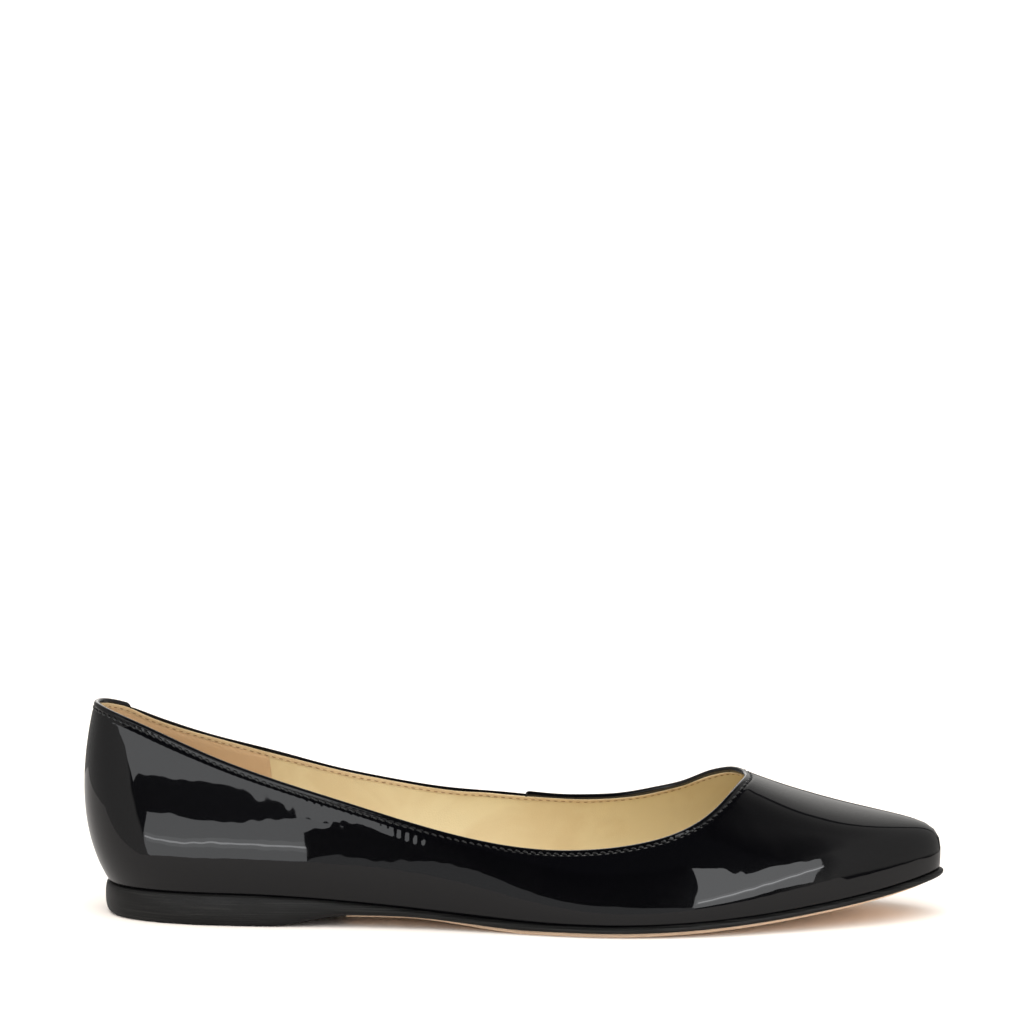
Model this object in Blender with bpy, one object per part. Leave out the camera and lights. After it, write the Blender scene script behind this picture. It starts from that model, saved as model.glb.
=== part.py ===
"""Women's almond toe flat, right foot, in four pieces.

A black sole unit with a built-in low heel, a thin tan tread under it, a padded insole inside,
and one hollow upper of lined patent leather, open at the topline and closed below by the sole.
Metres. +X points to the toe, +Y to the inner side of the foot, +Z up. The shoe stands on z = 0.
While it is modelled, x = 0 is the rearmost point of the heel; the finished pieces are then moved
together so that the origin lies on the floor under the middle of the shoe.
"""

from collections import namedtuple

import bpy
import numpy as np

# Driving dimensions of the last and the sole.
SHOE_LENGTH = 0.262  # heel curve to toe tip
BALL_WIDTH = 0.080  # feather line across the joints
COUNTER_HEIGHT = 0.0557  # heel curve above the heel seat
HEEL_LIFT = 0.0062  # heel seat above the forefoot
TOE_SPRING = 0.0110  # sole tip above the tread line
ARCH_HEIGHT = 0.0037  # underside of the waist above the floor
EDGE_THICKNESS = 0.0019  # sole unit at the forefoot
TREAD_THICKNESS = 0.0009
INSOLE_THICKNESS = 0.0022
INSOLE_LEAN = 0.6  # how far its edge follows the lean of the wall beside it
UPPER_WALL = 0.0018  # patent leather and lining together
SOLE_LEDGE = 0.0012  # sole edge beyond the feather line
SEAM_STEP = 0.0006  # vamp leather standing proud of the inner quarter
SEAM_DROP = 0.0007  # top of the inner quarter below the vamp's and the heel's
SEAM_WIDTH = 0.0003  # how sharply the step falls
PIECE_GAP = 0.0003  # clearance where two pieces meet

# Where things lie along the shoe, as shares of its length.
HEEL_FLAT_END = 0.214
BREAST_END = 0.321
WAIST_END = 0.370
TREAD_FLAT_START = 0.525
LIFT_START = 0.168
LIFT_END = 0.573
SPRING_START = 0.590
TREAD_BACK = 0.310

SPRING_POWER = 2.2  # how late the toe turns up
TREAD_INSET_BALL = 0.0022  # the tread's edge drawn in from the sole's edge
TREAD_INSET_WAIST = 0.0062
TREAD_INSET_TOE = 0.0050

# How finely the curved pieces are divided.
LOOP_COUNT = 96
WALL_COUNT = 12
LIP_COUNT = 4
TREAD_COUNT = 64
END_DENSITY = 0.45  # how much closer the divisions stand at the heel curve and the toe
LOOKUP_COUNT = 2001  # places tried when a place is looked up by its x
TANGENT_STEP = 0.0002  # how far apart two points are taken for a tangent
SHARP_ANGLE = 40  # degrees, past which an edge is shaded sharp

# Stations round the last, from the heel curve along the outer side to the toe and back along the
# inner side. along and top_along are shares of SHOE_LENGTH, across and top_across of BALL_WIDTH
# (outer side negative), top_height a share of COUNTER_HEIGHT above the sole.
Station = namedtuple("Station", "name along across top_along top_across top_height")
STATIONS = [
    Station("heel_curve", 0.0294, 0.000, 0.0135, 0.000, 1.000),
    Station("outer_heel_corner", 0.0439, -0.150, 0.0275, -0.118, 0.986),
    Station("outer_heel", 0.0935, -0.268, 0.0770, -0.205, 0.907),
    Station("outer_seat", 0.1790, -0.328, 0.1645, -0.294, 0.747),
    Station("outer_waist", 0.3240, -0.345, 0.3090, -0.342, 0.560),
    Station("outer_joint", 0.4580, -0.408, 0.4470, -0.365, 0.436),
    Station("outer_ball", 0.6180, -0.516, 0.5880, -0.373, 0.397),
    Station("outer_vamp", 0.7480, -0.458, 0.6870, -0.328, 0.465),
    Station("outer_toe", 0.8590, -0.318, 0.7390, -0.224, 0.586),
    Station("outer_tip", 0.9520, -0.152, 0.7635, -0.102, 0.680),
    Station("toe_tip", 0.9960, 0.034, 0.7690, 0.032, 0.692),
    Station("inner_tip", 0.9480, 0.212, 0.7540, 0.140, 0.704),
    Station("inner_toe", 0.8590, 0.334, 0.7210, 0.226, 0.662),
    Station("inner_vamp", 0.7480, 0.436, 0.6720, 0.306, 0.578),
    Station("inner_ball", 0.6300, 0.452, 0.5980, 0.352, 0.523),
    Station("inner_joint", 0.5120, 0.360, 0.5110, 0.354, 0.530),
    Station("inner_waist", 0.3450, 0.296, 0.3340, 0.343, 0.570),
    Station("inner_seat", 0.1790, 0.322, 0.1645, 0.298, 0.740),
    Station("inner_heel", 0.0935, 0.268, 0.0770, 0.205, 0.888),
    Station("inner_heel_seam", 0.0640, 0.215, 0.0500, 0.169, 0.945),
    Station("inner_heel_corner", 0.0439, 0.150, 0.0275, 0.118, 0.982),
]

# The inner quarter's panel runs between these two stations.
QUARTER_BACK = "inner_heel_seam"
QUARTER_FRONT = "inner_joint"

# How the wall rises between feather line and topline, by the place of its foot along the shoe.
# Its curve has three handles on the way. out is how far a handle stands outside the feather
# line, as a share of BALL_WIDTH; reach is its share of the way in to the topline, rise its share
# of the way up.
Wall = namedtuple("Wall", "along out1 rise1 reach2 out2 rise2 reach3 out3 rise3")
WALLS = [
    Wall(0.029, 0.090, 0.20, 0.45, 0.092, 0.45, 0.75, 0.058, 0.73),
    Wall(0.180, 0.056, 0.20, 0.45, 0.062, 0.45, 0.75, 0.040, 0.73),
    Wall(0.330, 0.037, 0.22, 0.45, 0.040, 0.47, 0.75, 0.025, 0.75),
    Wall(0.460, 0.044, 0.26, 0.28, 0.056, 0.56, 0.62, 0.040, 0.86),
    Wall(0.600, 0.033, 0.30, 0.25, 0.015, 0.62, 0.62, 0.006, 0.86),
    Wall(0.820, 0.030, 0.44, 0.12, 0.004, 0.62, 0.58, 0.000, 0.86),
    Wall(0.950, 0.028, 0.60, 0.07, 0.000, 0.50, 0.59, 0.000, 0.72),
    Wall(0.996, 0.025, 0.66, 0.06, 0.000, 0.43, 0.59, 0.000, 0.65),
]

# Side of the sole unit from its underside up: height as a share of its thickness, and how far it
# stands outside the feather line as a share of SOLE_LEDGE.
EdgePoint = namedtuple("EdgePoint", "height out")
SOLE_EDGE = [
    EdgePoint(0.00, -0.80),
    EdgePoint(0.05, 0.00),
    EdgePoint(0.18, 0.65),
    EdgePoint(0.45, 1.00),
    EdgePoint(0.80, 0.95),
    EdgePoint(1.00, 0.40),
]

Finish = namedtuple("Finish", "colour roughness metallic")
PATENT_BLACK = Finish((0.010, 0.010, 0.011), 0.06, 0.0)
SOLE_BLACK = Finish((0.016, 0.016, 0.016), 0.42, 0.0)
TREAD_TAN = Finish((0.560, 0.370, 0.225), 0.55, 0.0)
LINING_BEIGE = Finish((0.640, 0.470, 0.270), 0.50, 0.0)


def smooth_step(x, start, end):
    """0 before start, 1 after end, and a cubic ease between them."""
    t = np.clip((x - start) / (end - start), 0.0, 1.0)
    return t * t * (3 - 2 * t)


def spring(x):
    """Rise of the toe above the tread line at x, a power curve from the end of the flat tread."""
    share = np.clip(x / SHOE_LENGTH - SPRING_START, 0.0, None) / (1 - SPRING_START)
    return TOE_SPRING * share**SPRING_POWER


def sole_top(x):
    """Height of the sole's upper face, the feather line, at x."""
    fall = smooth_step(x / SHOE_LENGTH, LIFT_START, LIFT_END)
    forefoot = TREAD_THICKNESS + PIECE_GAP + EDGE_THICKNESS
    return forefoot + HEEL_LIFT * (1 - fall) + spring(x)


def sole_bottom(x):
    """Height of the sole unit's underside: on the floor at the heel, over the tread in front."""
    share = x / SHOE_LENGTH
    tread = TREAD_THICKNESS + PIECE_GAP
    breast = smooth_step(share, HEEL_FLAT_END, BREAST_END)
    waist = 1 - smooth_step(share, WAIST_END, TREAD_FLAT_START)
    return breast * (tread + waist * (ARCH_HEIGHT - tread)) + spring(x)


def spline(knots, values, at, period=None):
    """Cubic spline with continuous curvature through values at knots, natural or periodic."""
    if period:
        knots = np.append(knots, knots[0] + period)
        values = np.vstack([values, values[:1]])
        at = knots[0] + np.mod(at - knots[0], period)
    count = len(knots)
    step = np.diff(knots)
    slope = np.diff(values, axis=0) / step[:, None]
    matrix = np.zeros((count, count))
    right = np.zeros_like(values)
    for i in range(1, count - 1):
        matrix[i, i - 1 : i + 2] = step[i - 1], 2 * (step[i - 1] + step[i]), step[i]
        right[i] = 6 * (slope[i] - slope[i - 1])
    matrix[0, 0] = 1
    matrix[-1, -1] = 1
    if period:
        matrix[0, -1] = -1
        matrix[-1, [0, 1, -2, -1]] = 2 * step[0], step[0], step[-1], 2 * step[-1]
        right[-1] = 6 * (slope[0] - slope[-1])
    bend = np.linalg.solve(matrix, right)
    i = np.clip(np.searchsorted(knots, at, side="right") - 1, 0, count - 2)
    h = step[i][:, None]
    b = (at - knots[i])[:, None] / h
    a = 1 - b
    return (
        a * values[i]
        + b * values[i + 1]
        + ((a**3 - a) * bend[i] + (b**3 - b) * bend[i + 1]) * h**2 / 6
    )


def station_lengths():
    """Distance round the feather line at each station, and the whole way round."""
    foot = np.array([(r.along * SHOE_LENGTH, r.across * BALL_WIDTH) for r in STATIONS])
    chords = np.linalg.norm(np.roll(foot, -1, axis=0) - foot, axis=1)
    return np.append(0, np.cumsum(chords[:-1])), chords.sum()


def round_the_last(at):
    """Feather line and topline points at distances round the feather line, as two arrays."""
    lengths, around = station_lengths()
    rows = np.array([row[1:] for row in STATIONS])
    along, across, top_along, top_across, top_height = spline(lengths, rows, at, around).T
    x = along * SHOE_LENGTH
    top_x = top_along * SHOE_LENGTH
    foot = np.stack([x, across * BALL_WIDTH, sole_top(x) + PIECE_GAP], axis=1)
    top_z = sole_top(top_x) + top_height * COUNTER_HEIGHT
    return foot, np.stack([top_x, top_across * BALL_WIDTH, top_z], axis=1)


def outward(at):
    """Unit plan normals of the feather line at distances round it, pointing out of the shoe."""
    ahead, _ = round_the_last(at + TANGENT_STEP)
    behind, _ = round_the_last(at - TANGENT_STEP)
    tangent = (ahead - behind)[:, :2]
    tangent /= np.linalg.norm(tangent, axis=1)[:, None]
    # The stations run along the outer side first, so outwards is to the tangent's right.
    return np.stack([tangent[:, 1], -tangent[:, 0], np.zeros(len(tangent))], axis=1)


def wall_handles(at):
    """The five control points of the wall curve at each distance round the feather line."""
    foot, top = round_the_last(at)
    normal = outward(at)
    rows = np.array(WALLS)
    shape = spline(rows[:, 0], rows[:, 1:], foot[:, 0] / SHOE_LENGTH)
    out1, rise1, reach2, out2, rise2, reach3, out3, rise3 = shape.T[:, :, None]
    way = top - foot
    level = way * (1, 1, 0)
    up = way * (0, 0, 1)
    low = foot + out1 * BALL_WIDTH * normal + rise1 * up
    shoulder = foot + reach2 * level + out2 * BALL_WIDTH * normal + rise2 * up
    neck = foot + reach3 * level + out3 * BALL_WIDTH * normal + rise3 * up
    return np.stack([foot, low, shoulder, neck, top])


def upper_surface(at, up):
    """Outer face of the upper: a quartic Bezier wall at each place, as (places, heights, 3)."""
    handles = wall_handles(at)
    t = np.asarray(up)
    weights = np.stack([(1 - t) ** 4, 4 * t * (1 - t) ** 3, 6 * t**2 * (1 - t) ** 2,
                        4 * t**3 * (1 - t), t**4])
    return np.einsum("hw,hpc->pwc", weights, handles)


def normals(grid):
    """Outward unit normals of a grid that closes round its first index."""
    around = np.roll(grid, -1, axis=0) - np.roll(grid, 1, axis=0)
    upward = np.gradient(grid, axis=1)
    normal = np.cross(around, upward)
    return normal / np.linalg.norm(normal, axis=2)[:, :, None]


def station_at(name):
    """Distance round the feather line of a named station."""
    lengths, _ = station_lengths()
    return lengths[[row.name for row in STATIONS].index(name)]


def side_places(start, end, count):
    """Places between two distances, closer together near both ends and clear of the ends."""
    share = (np.arange(count) + 0.5) / count
    eased = share - END_DENSITY * np.sin(2 * np.pi * share) / (2 * np.pi)
    return start + (end - start) * eased


def loop_places():
    """Places round the whole feather line: up the outer side to the toe, back down the inner."""
    _, around = station_lengths()
    toe = station_at("toe_tip")
    half = LOOP_COUNT // 2
    return np.append(side_places(0, toe, half), side_places(toe, around, half))


def upper_body():
    """Vertices and faces of the upper: the outer wall, the rolled topline and the lining."""
    back = station_at(QUARTER_BACK)
    front = station_at(QUARTER_FRONT)
    edge = SEAM_WIDTH / 2
    seams = [front - edge, front + edge, back - edge, back + edge]
    at = np.sort(np.append(loop_places(), seams))
    quarter = ((at > front) & (at < back))[:, None, None]

    plain = upper_surface(at, np.linspace(0, 1, WALL_COUNT + 1))
    normal = normals(plain)
    climb = plain[:, -1] - plain[:, -2]
    climb /= np.linalg.norm(climb, axis=1)[:, None]
    drop = (UPPER_WALL / 2 + SEAM_DROP * quarter[:, 0]) * climb
    plain[:, -1] -= drop
    outer = plain - SEAM_STEP * quarter * normal

    inner = plain - UPPER_WALL * normal
    inner[:, 0] = plain[:, 0] - UPPER_WALL * outward(at)
    inner[:, 0, 2] = sole_top(inner[:, 0, 0]) + PIECE_GAP

    # Half round over the edge, from the outer wall to the lining.
    middle = (outer[:, -1] + inner[:, -1]) / 2
    half = (outer[:, -1] - inner[:, -1]) / 2
    angles = np.linspace(0, np.pi, LIP_COUNT + 1)[1:-1]
    lip = [
        middle + np.cos(a) * half + np.sin(a) * climb * np.linalg.norm(half, axis=1)[:, None]
        for a in angles
    ]
    section = np.concatenate([outer, np.stack(lip, axis=1), inner[:, ::-1]], axis=1)

    count, size, _ = section.shape
    faces = [
        (
            i * size + j,
            (i + 1) % count * size + j,
            (i + 1) % count * size + (j + 1) % size,
            i * size + (j + 1) % size,
        )
        for i in range(count)
        for j in range(size)
    ]
    return section.reshape(-1, 3), faces


def stacked_body(rings):
    """Vertices and faces of a slab whose outline passes through rings, lowest first.

    Each ring runs up the outer side and back down the inner, so its two ends lie side by side.
    The slab is closed below and above by rungs laid across from one side to the other.
    """
    count = len(rings[0])
    faces = []
    for k in range(len(rings) - 1):
        for i in range(count):
            j = (i + 1) % count
            low = k * count
            high = low + count
            faces.append((low + j, high + j, high + i, low + i))
    top = (len(rings) - 1) * count
    for i in range(count // 2 - 1):
        far = count - 1 - i
        faces.append((far, far - 1, i + 1, i))
        faces.append((top + i, top + i + 1, top + far - 1, top + far))
    return np.concatenate(rings), faces


def outline(at, out):
    """Plan points beyond the feather line by out, at distances round it."""
    foot, _ = round_the_last(at)
    return (foot + np.reshape(out, (-1, 1)) * outward(at))[:, :2]


def ring(plan, height):
    """Plan points given a height each."""
    return np.column_stack([plan, height])


def sole_body():
    """Vertices and faces of the black sole unit with its low heel."""
    at = loop_places()
    rings = []
    for point in SOLE_EDGE:
        plan = outline(at, point.out * SOLE_LEDGE)
        bottom = sole_bottom(plan[:, 0])
        top = sole_top(plan[:, 0])
        rings.append(ring(plan, bottom + point.height * (top - bottom)))
    return stacked_body(rings)


def insole_body():
    """Vertices and faces of the padded insole, whose edge leans with the wall beside it."""
    at = loop_places()
    handles = wall_handles(at)
    lean = handles[1] - handles[0]
    lean /= lean[:, 2:]
    plan = outline(at, -(UPPER_WALL + PIECE_GAP))
    top_plan = plan + lean[:, :2] * INSOLE_LEAN * INSOLE_THICKNESS
    rings = [
        ring(plan, sole_top(plan[:, 0]) + PIECE_GAP),
        ring(top_plan, sole_top(top_plan[:, 0]) + PIECE_GAP + INSOLE_THICKNESS),
    ]
    return stacked_body(rings)


def tread_places():
    """Places round the tread: up the outer side from its straight back edge, and back down."""
    _, around = station_lengths()
    toe = station_at("toe_tip")
    fine = np.linspace(0, around, LOOKUP_COUNT)
    x = outline(fine, 0)[:, 0]
    before = fine < toe
    start = np.interp(TREAD_BACK * SHOE_LENGTH, x[before], fine[before])
    end = np.interp(-TREAD_BACK * SHOE_LENGTH, -x[~before], fine[~before])
    half = TREAD_COUNT // 2
    outer = side_places(start, toe, half)
    inner = side_places(toe, end, half)
    outer[0] = start
    inner[-1] = end
    return np.append(outer, inner)


def tread_body():
    """Vertices and faces of the tan tread under the waist and the forefoot."""
    at = tread_places()
    share = outline(at, 0)[:, 0] / SHOE_LENGTH
    waist = 1 - smooth_step(share, WAIST_END, TREAD_FLAT_START)
    toe = smooth_step(share, SPRING_START, 1)
    inset = (
        TREAD_INSET_BALL
        + waist * (TREAD_INSET_WAIST - TREAD_INSET_BALL)
        + toe * (TREAD_INSET_TOE - TREAD_INSET_BALL)
    )
    plan = outline(at, SOLE_LEDGE - inset)
    top = sole_bottom(plan[:, 0]) - PIECE_GAP
    return stacked_body([ring(plan, top - TREAD_THICKNESS), ring(plan, top)])


def make_material(name, finish):
    """A plain glossy or matt material."""
    material = bpy.data.materials.new(name)
    material.use_nodes = True
    shader = material.node_tree.nodes["Principled BSDF"]
    shader.inputs["Base Color"].default_value = (*finish.colour, 1)
    shader.inputs["Roughness"].default_value = finish.roughness
    shader.inputs["Metallic"].default_value = finish.metallic
    return material


def make_piece(name, body, material, parent):
    """One named object from vertices and faces, carried by the shoe's empty."""
    points, faces = body
    mesh = bpy.data.meshes.new(name)
    mesh.from_pydata(points.tolist(), [], faces)
    mesh.validate()
    mesh.materials.append(material)
    mesh.shade_smooth()
    mesh.set_sharp_from_angle(angle=np.radians(SHARP_ANGLE))
    piece = bpy.data.objects.new(name, mesh)
    piece.parent = parent
    bpy.context.scene.collection.objects.link(piece)
    return piece


def main():
    """Build the shoe and stand it over the origin."""
    for item in list(bpy.data.objects):
        bpy.data.objects.remove(item, do_unlink=True)

    shoe = bpy.data.objects.new("shoe", None)
    bpy.context.scene.collection.objects.link(shoe)
    bodies = {
        "upper": (upper_body(), make_material("patent_black", PATENT_BLACK)),
        "insole": (insole_body(), make_material("lining_beige", LINING_BEIGE)),
        "sole_unit": (sole_body(), make_material("sole_black", SOLE_BLACK)),
        "tread": (tread_body(), make_material("tread_tan", TREAD_TAN)),
    }
    for name, (body, material) in bodies.items():
        make_piece(name, body, material, shoe)

    points = np.concatenate([body[0] for body, _ in bodies.values()])
    middle = (points.min(axis=0) + points.max(axis=0)) / 2
    shoe.location = (-middle[0], -middle[1], 0)


if __name__ == "__main__":
    main()
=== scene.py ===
"""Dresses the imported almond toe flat: patent upper, leather lining, padded insole and sole.

Metres, in the row's frame: +X to the toe, +Y to the inner side of the foot, +Z up, floor at z = 0.
The last's own lengths run from the rearmost point of the heel, and HEEL_POINT carries them over.
"""

from __future__ import annotations

import logging
import math
from dataclasses import dataclass, field
from enum import Enum
from typing import NamedTuple

import bpy
import numpy as np
from mathutils import Matrix, Vector


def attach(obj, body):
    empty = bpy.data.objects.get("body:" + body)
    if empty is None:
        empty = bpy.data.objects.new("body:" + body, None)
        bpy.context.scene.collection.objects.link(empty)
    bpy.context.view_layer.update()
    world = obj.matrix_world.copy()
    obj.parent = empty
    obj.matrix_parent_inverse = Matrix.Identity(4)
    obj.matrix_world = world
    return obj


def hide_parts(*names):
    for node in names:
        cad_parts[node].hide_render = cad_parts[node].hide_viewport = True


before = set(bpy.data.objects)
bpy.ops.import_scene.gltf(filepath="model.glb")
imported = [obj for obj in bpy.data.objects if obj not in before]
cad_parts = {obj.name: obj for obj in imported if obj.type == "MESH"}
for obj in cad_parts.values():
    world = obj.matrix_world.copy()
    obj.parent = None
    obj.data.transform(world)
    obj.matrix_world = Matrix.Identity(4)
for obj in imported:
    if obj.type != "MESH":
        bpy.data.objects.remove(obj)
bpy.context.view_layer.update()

Array = np.ndarray
MM = 0.001
HEEL_POINT = (-0.1311342, 0.0022394, 0.0)
WALL = 1.8 * MM  # patent leather and lining together
LIP = 0.9 * MM  # crest of the topline above the straight part of the wall
LEDGE = 1.2 * MM  # sole edge beyond the feather line

log = logging.getLogger("flat")


class Slot(Enum):
    """The record's material slots."""

    PATENT = "patent_leather"
    INSOLE = "insole_leather"
    SOLE = "sole_rubber"
    TREAD = "tread_rubber"


# Numbers and curves


def smooth_step(x: Array, start: float, end: float) -> Array:
    """0 before start, 1 after end, and t * t * (3 - 2 t) between them.

    Args:
        x: Values to ease.
        start: Where the rise starts.
        end: Where it ends.

    Returns:
        The eased values, from 0 to 1.
    """
    t = np.clip((x - start) / (end - start), 0.0, 1.0)
    return t * t * (3 - 2 * t)


def bell(x: Array, middle: float, width: float) -> Array:
    """exp of minus ((x - middle) / width) squared."""
    return np.exp(-(((x - middle) / width) ** 2))


def unit(vectors: Array) -> Array:
    """Vectors divided by their own lengths."""
    return vectors / np.linalg.norm(vectors, axis=-1, keepdims=True)


def spline(knots: Array, values: Array, at: Array, period: float | None = None) -> Array:
    """Cubic spline with continuous curvature through values at knots.

    The bend at each knot solves the usual three-term equations; between knots a and b weigh the
    two values, and (a^3 - a) and (b^3 - b) weigh the two bends.

    Args:
        knots: Rising places of the values.
        values: One row for each knot.
        at: Places to read.
        period: Length after which the curve repeats, or None for free ends.

    Returns:
        One row for each place.
    """
    if period:
        knots = np.append(knots, knots[0] + period)
        values = np.vstack([values, values[:1]])
        at = knots[0] + np.mod(at - knots[0], period)
    count = len(knots)
    step = np.diff(knots)
    slope = np.diff(values, axis=0) / step[:, None]
    matrix = np.zeros((count, count))
    right = np.zeros_like(values)
    inner = np.arange(1, count - 1)
    matrix[inner, inner - 1] = step[:-1]
    matrix[inner, inner] = 2 * (step[:-1] + step[1:])
    matrix[inner, inner + 1] = step[1:]
    right[inner] = 6 * (slope[1:] - slope[:-1])
    matrix[0, 0] = 1
    matrix[-1, -1] = 1
    if period:
        matrix[0, -1] = -1
        matrix[-1, [0, 1, -2, -1]] = 2 * step[0], step[0], step[-1], 2 * step[-1]
        right[-1] = 6 * (slope[0] - slope[-1])
    bend = np.linalg.solve(matrix, right)
    i = np.clip(np.searchsorted(knots, at, side="right") - 1, 0, count - 2)
    h = step[i][:, None]
    b = (at - knots[i])[:, None] / h
    a = 1 - b
    curve = (a**3 - a) * bend[i] + (b**3 - b) * bend[i + 1]
    return a * values[i] + b * values[i + 1] + curve * h**2 / 6


def bezier(handles: Array, share: Array) -> Array:
    """Bezier curves: each handle weighed by its binomial times t^k (1 - t)^(n - k).

    Args:
        handles: Handles by curve, as (handle, curve, 3).
        share: Share of the way along each curve, as (curve, row).

    Returns:
        Points as (curve, row, 3).
    """
    top = len(handles) - 1
    weights = [math.comb(top, k) * share**k * (1 - share) ** (top - k) for k in range(top + 1)]
    return np.einsum("kcr,kcd->crd", np.stack(weights), handles)


def arc_length(line: Array) -> Array:
    """Distance along a line of points at each of them, by summing the steps."""
    return np.append(0, np.cumsum(np.linalg.norm(np.diff(line, axis=0), axis=1)))


# The last


class Station(NamedTuple):
    """A place on the last, as shares of its length, ball width and counter height."""

    name: str
    along: float
    across: float
    top_along: float
    top_across: float
    top_height: float


class Wall(NamedTuple):
    """The three handles between feather line and topline, by where the wall's foot stands."""

    along: float
    out1: float
    rise1: float
    reach2: float
    out2: float
    rise2: float
    reach3: float
    out3: float
    rise3: float


STATIONS = (
    Station("heel_curve", 0.0294, 0.000, 0.0135, 0.000, 1.000),
    Station("outer_heel_corner", 0.0439, -0.150, 0.0275, -0.118, 0.986),
    Station("outer_heel", 0.0935, -0.268, 0.0770, -0.205, 0.907),
    Station("outer_seat", 0.1790, -0.328, 0.1645, -0.294, 0.747),
    Station("outer_waist", 0.3240, -0.345, 0.3090, -0.342, 0.560),
    Station("outer_joint", 0.4580, -0.408, 0.4470, -0.365, 0.436),
    Station("outer_ball", 0.6180, -0.516, 0.5880, -0.373, 0.397),
    Station("outer_vamp", 0.7480, -0.458, 0.6870, -0.328, 0.465),
    Station("outer_toe", 0.8590, -0.318, 0.7390, -0.224, 0.586),
    Station("outer_tip", 0.9520, -0.152, 0.7635, -0.102, 0.680),
    Station("toe_tip", 0.9960, 0.034, 0.7690, 0.032, 0.692),
    Station("inner_tip", 0.9480, 0.212, 0.7540, 0.140, 0.704),
    Station("inner_toe", 0.8590, 0.334, 0.7210, 0.226, 0.662),
    Station("inner_vamp", 0.7480, 0.436, 0.6720, 0.306, 0.578),
    Station("inner_ball", 0.6300, 0.452, 0.5980, 0.352, 0.523),
    Station("inner_joint", 0.5120, 0.360, 0.5110, 0.354, 0.530),
    Station("inner_waist", 0.3450, 0.296, 0.3340, 0.343, 0.570),
    Station("inner_seat", 0.1790, 0.322, 0.1645, 0.298, 0.740),
    Station("inner_heel", 0.0935, 0.268, 0.0770, 0.205, 0.888),
    Station("inner_heel_seam", 0.0640, 0.215, 0.0500, 0.169, 0.945),
    Station("inner_heel_corner", 0.0439, 0.150, 0.0275, 0.118, 0.982),
)

WALLS = (
    Wall(0.029, 0.090, 0.20, 0.45, 0.092, 0.45, 0.75, 0.058, 0.73),
    Wall(0.180, 0.056, 0.20, 0.45, 0.062, 0.45, 0.75, 0.040, 0.73),
    Wall(0.330, 0.037, 0.22, 0.45, 0.040, 0.47, 0.75, 0.025, 0.75),
    Wall(0.460, 0.044, 0.26, 0.28, 0.056, 0.56, 0.62, 0.040, 0.86),
    Wall(0.600, 0.033, 0.30, 0.25, 0.015, 0.62, 0.62, 0.006, 0.86),
    Wall(0.820, 0.030, 0.44, 0.12, 0.004, 0.62, 0.58, 0.000, 0.86),
    Wall(0.950, 0.028, 0.60, 0.07, 0.000, 0.50, 0.59, 0.000, 0.72),
    Wall(0.996, 0.025, 0.66, 0.06, 0.000, 0.43, 0.59, 0.000, 0.65),
)


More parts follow.
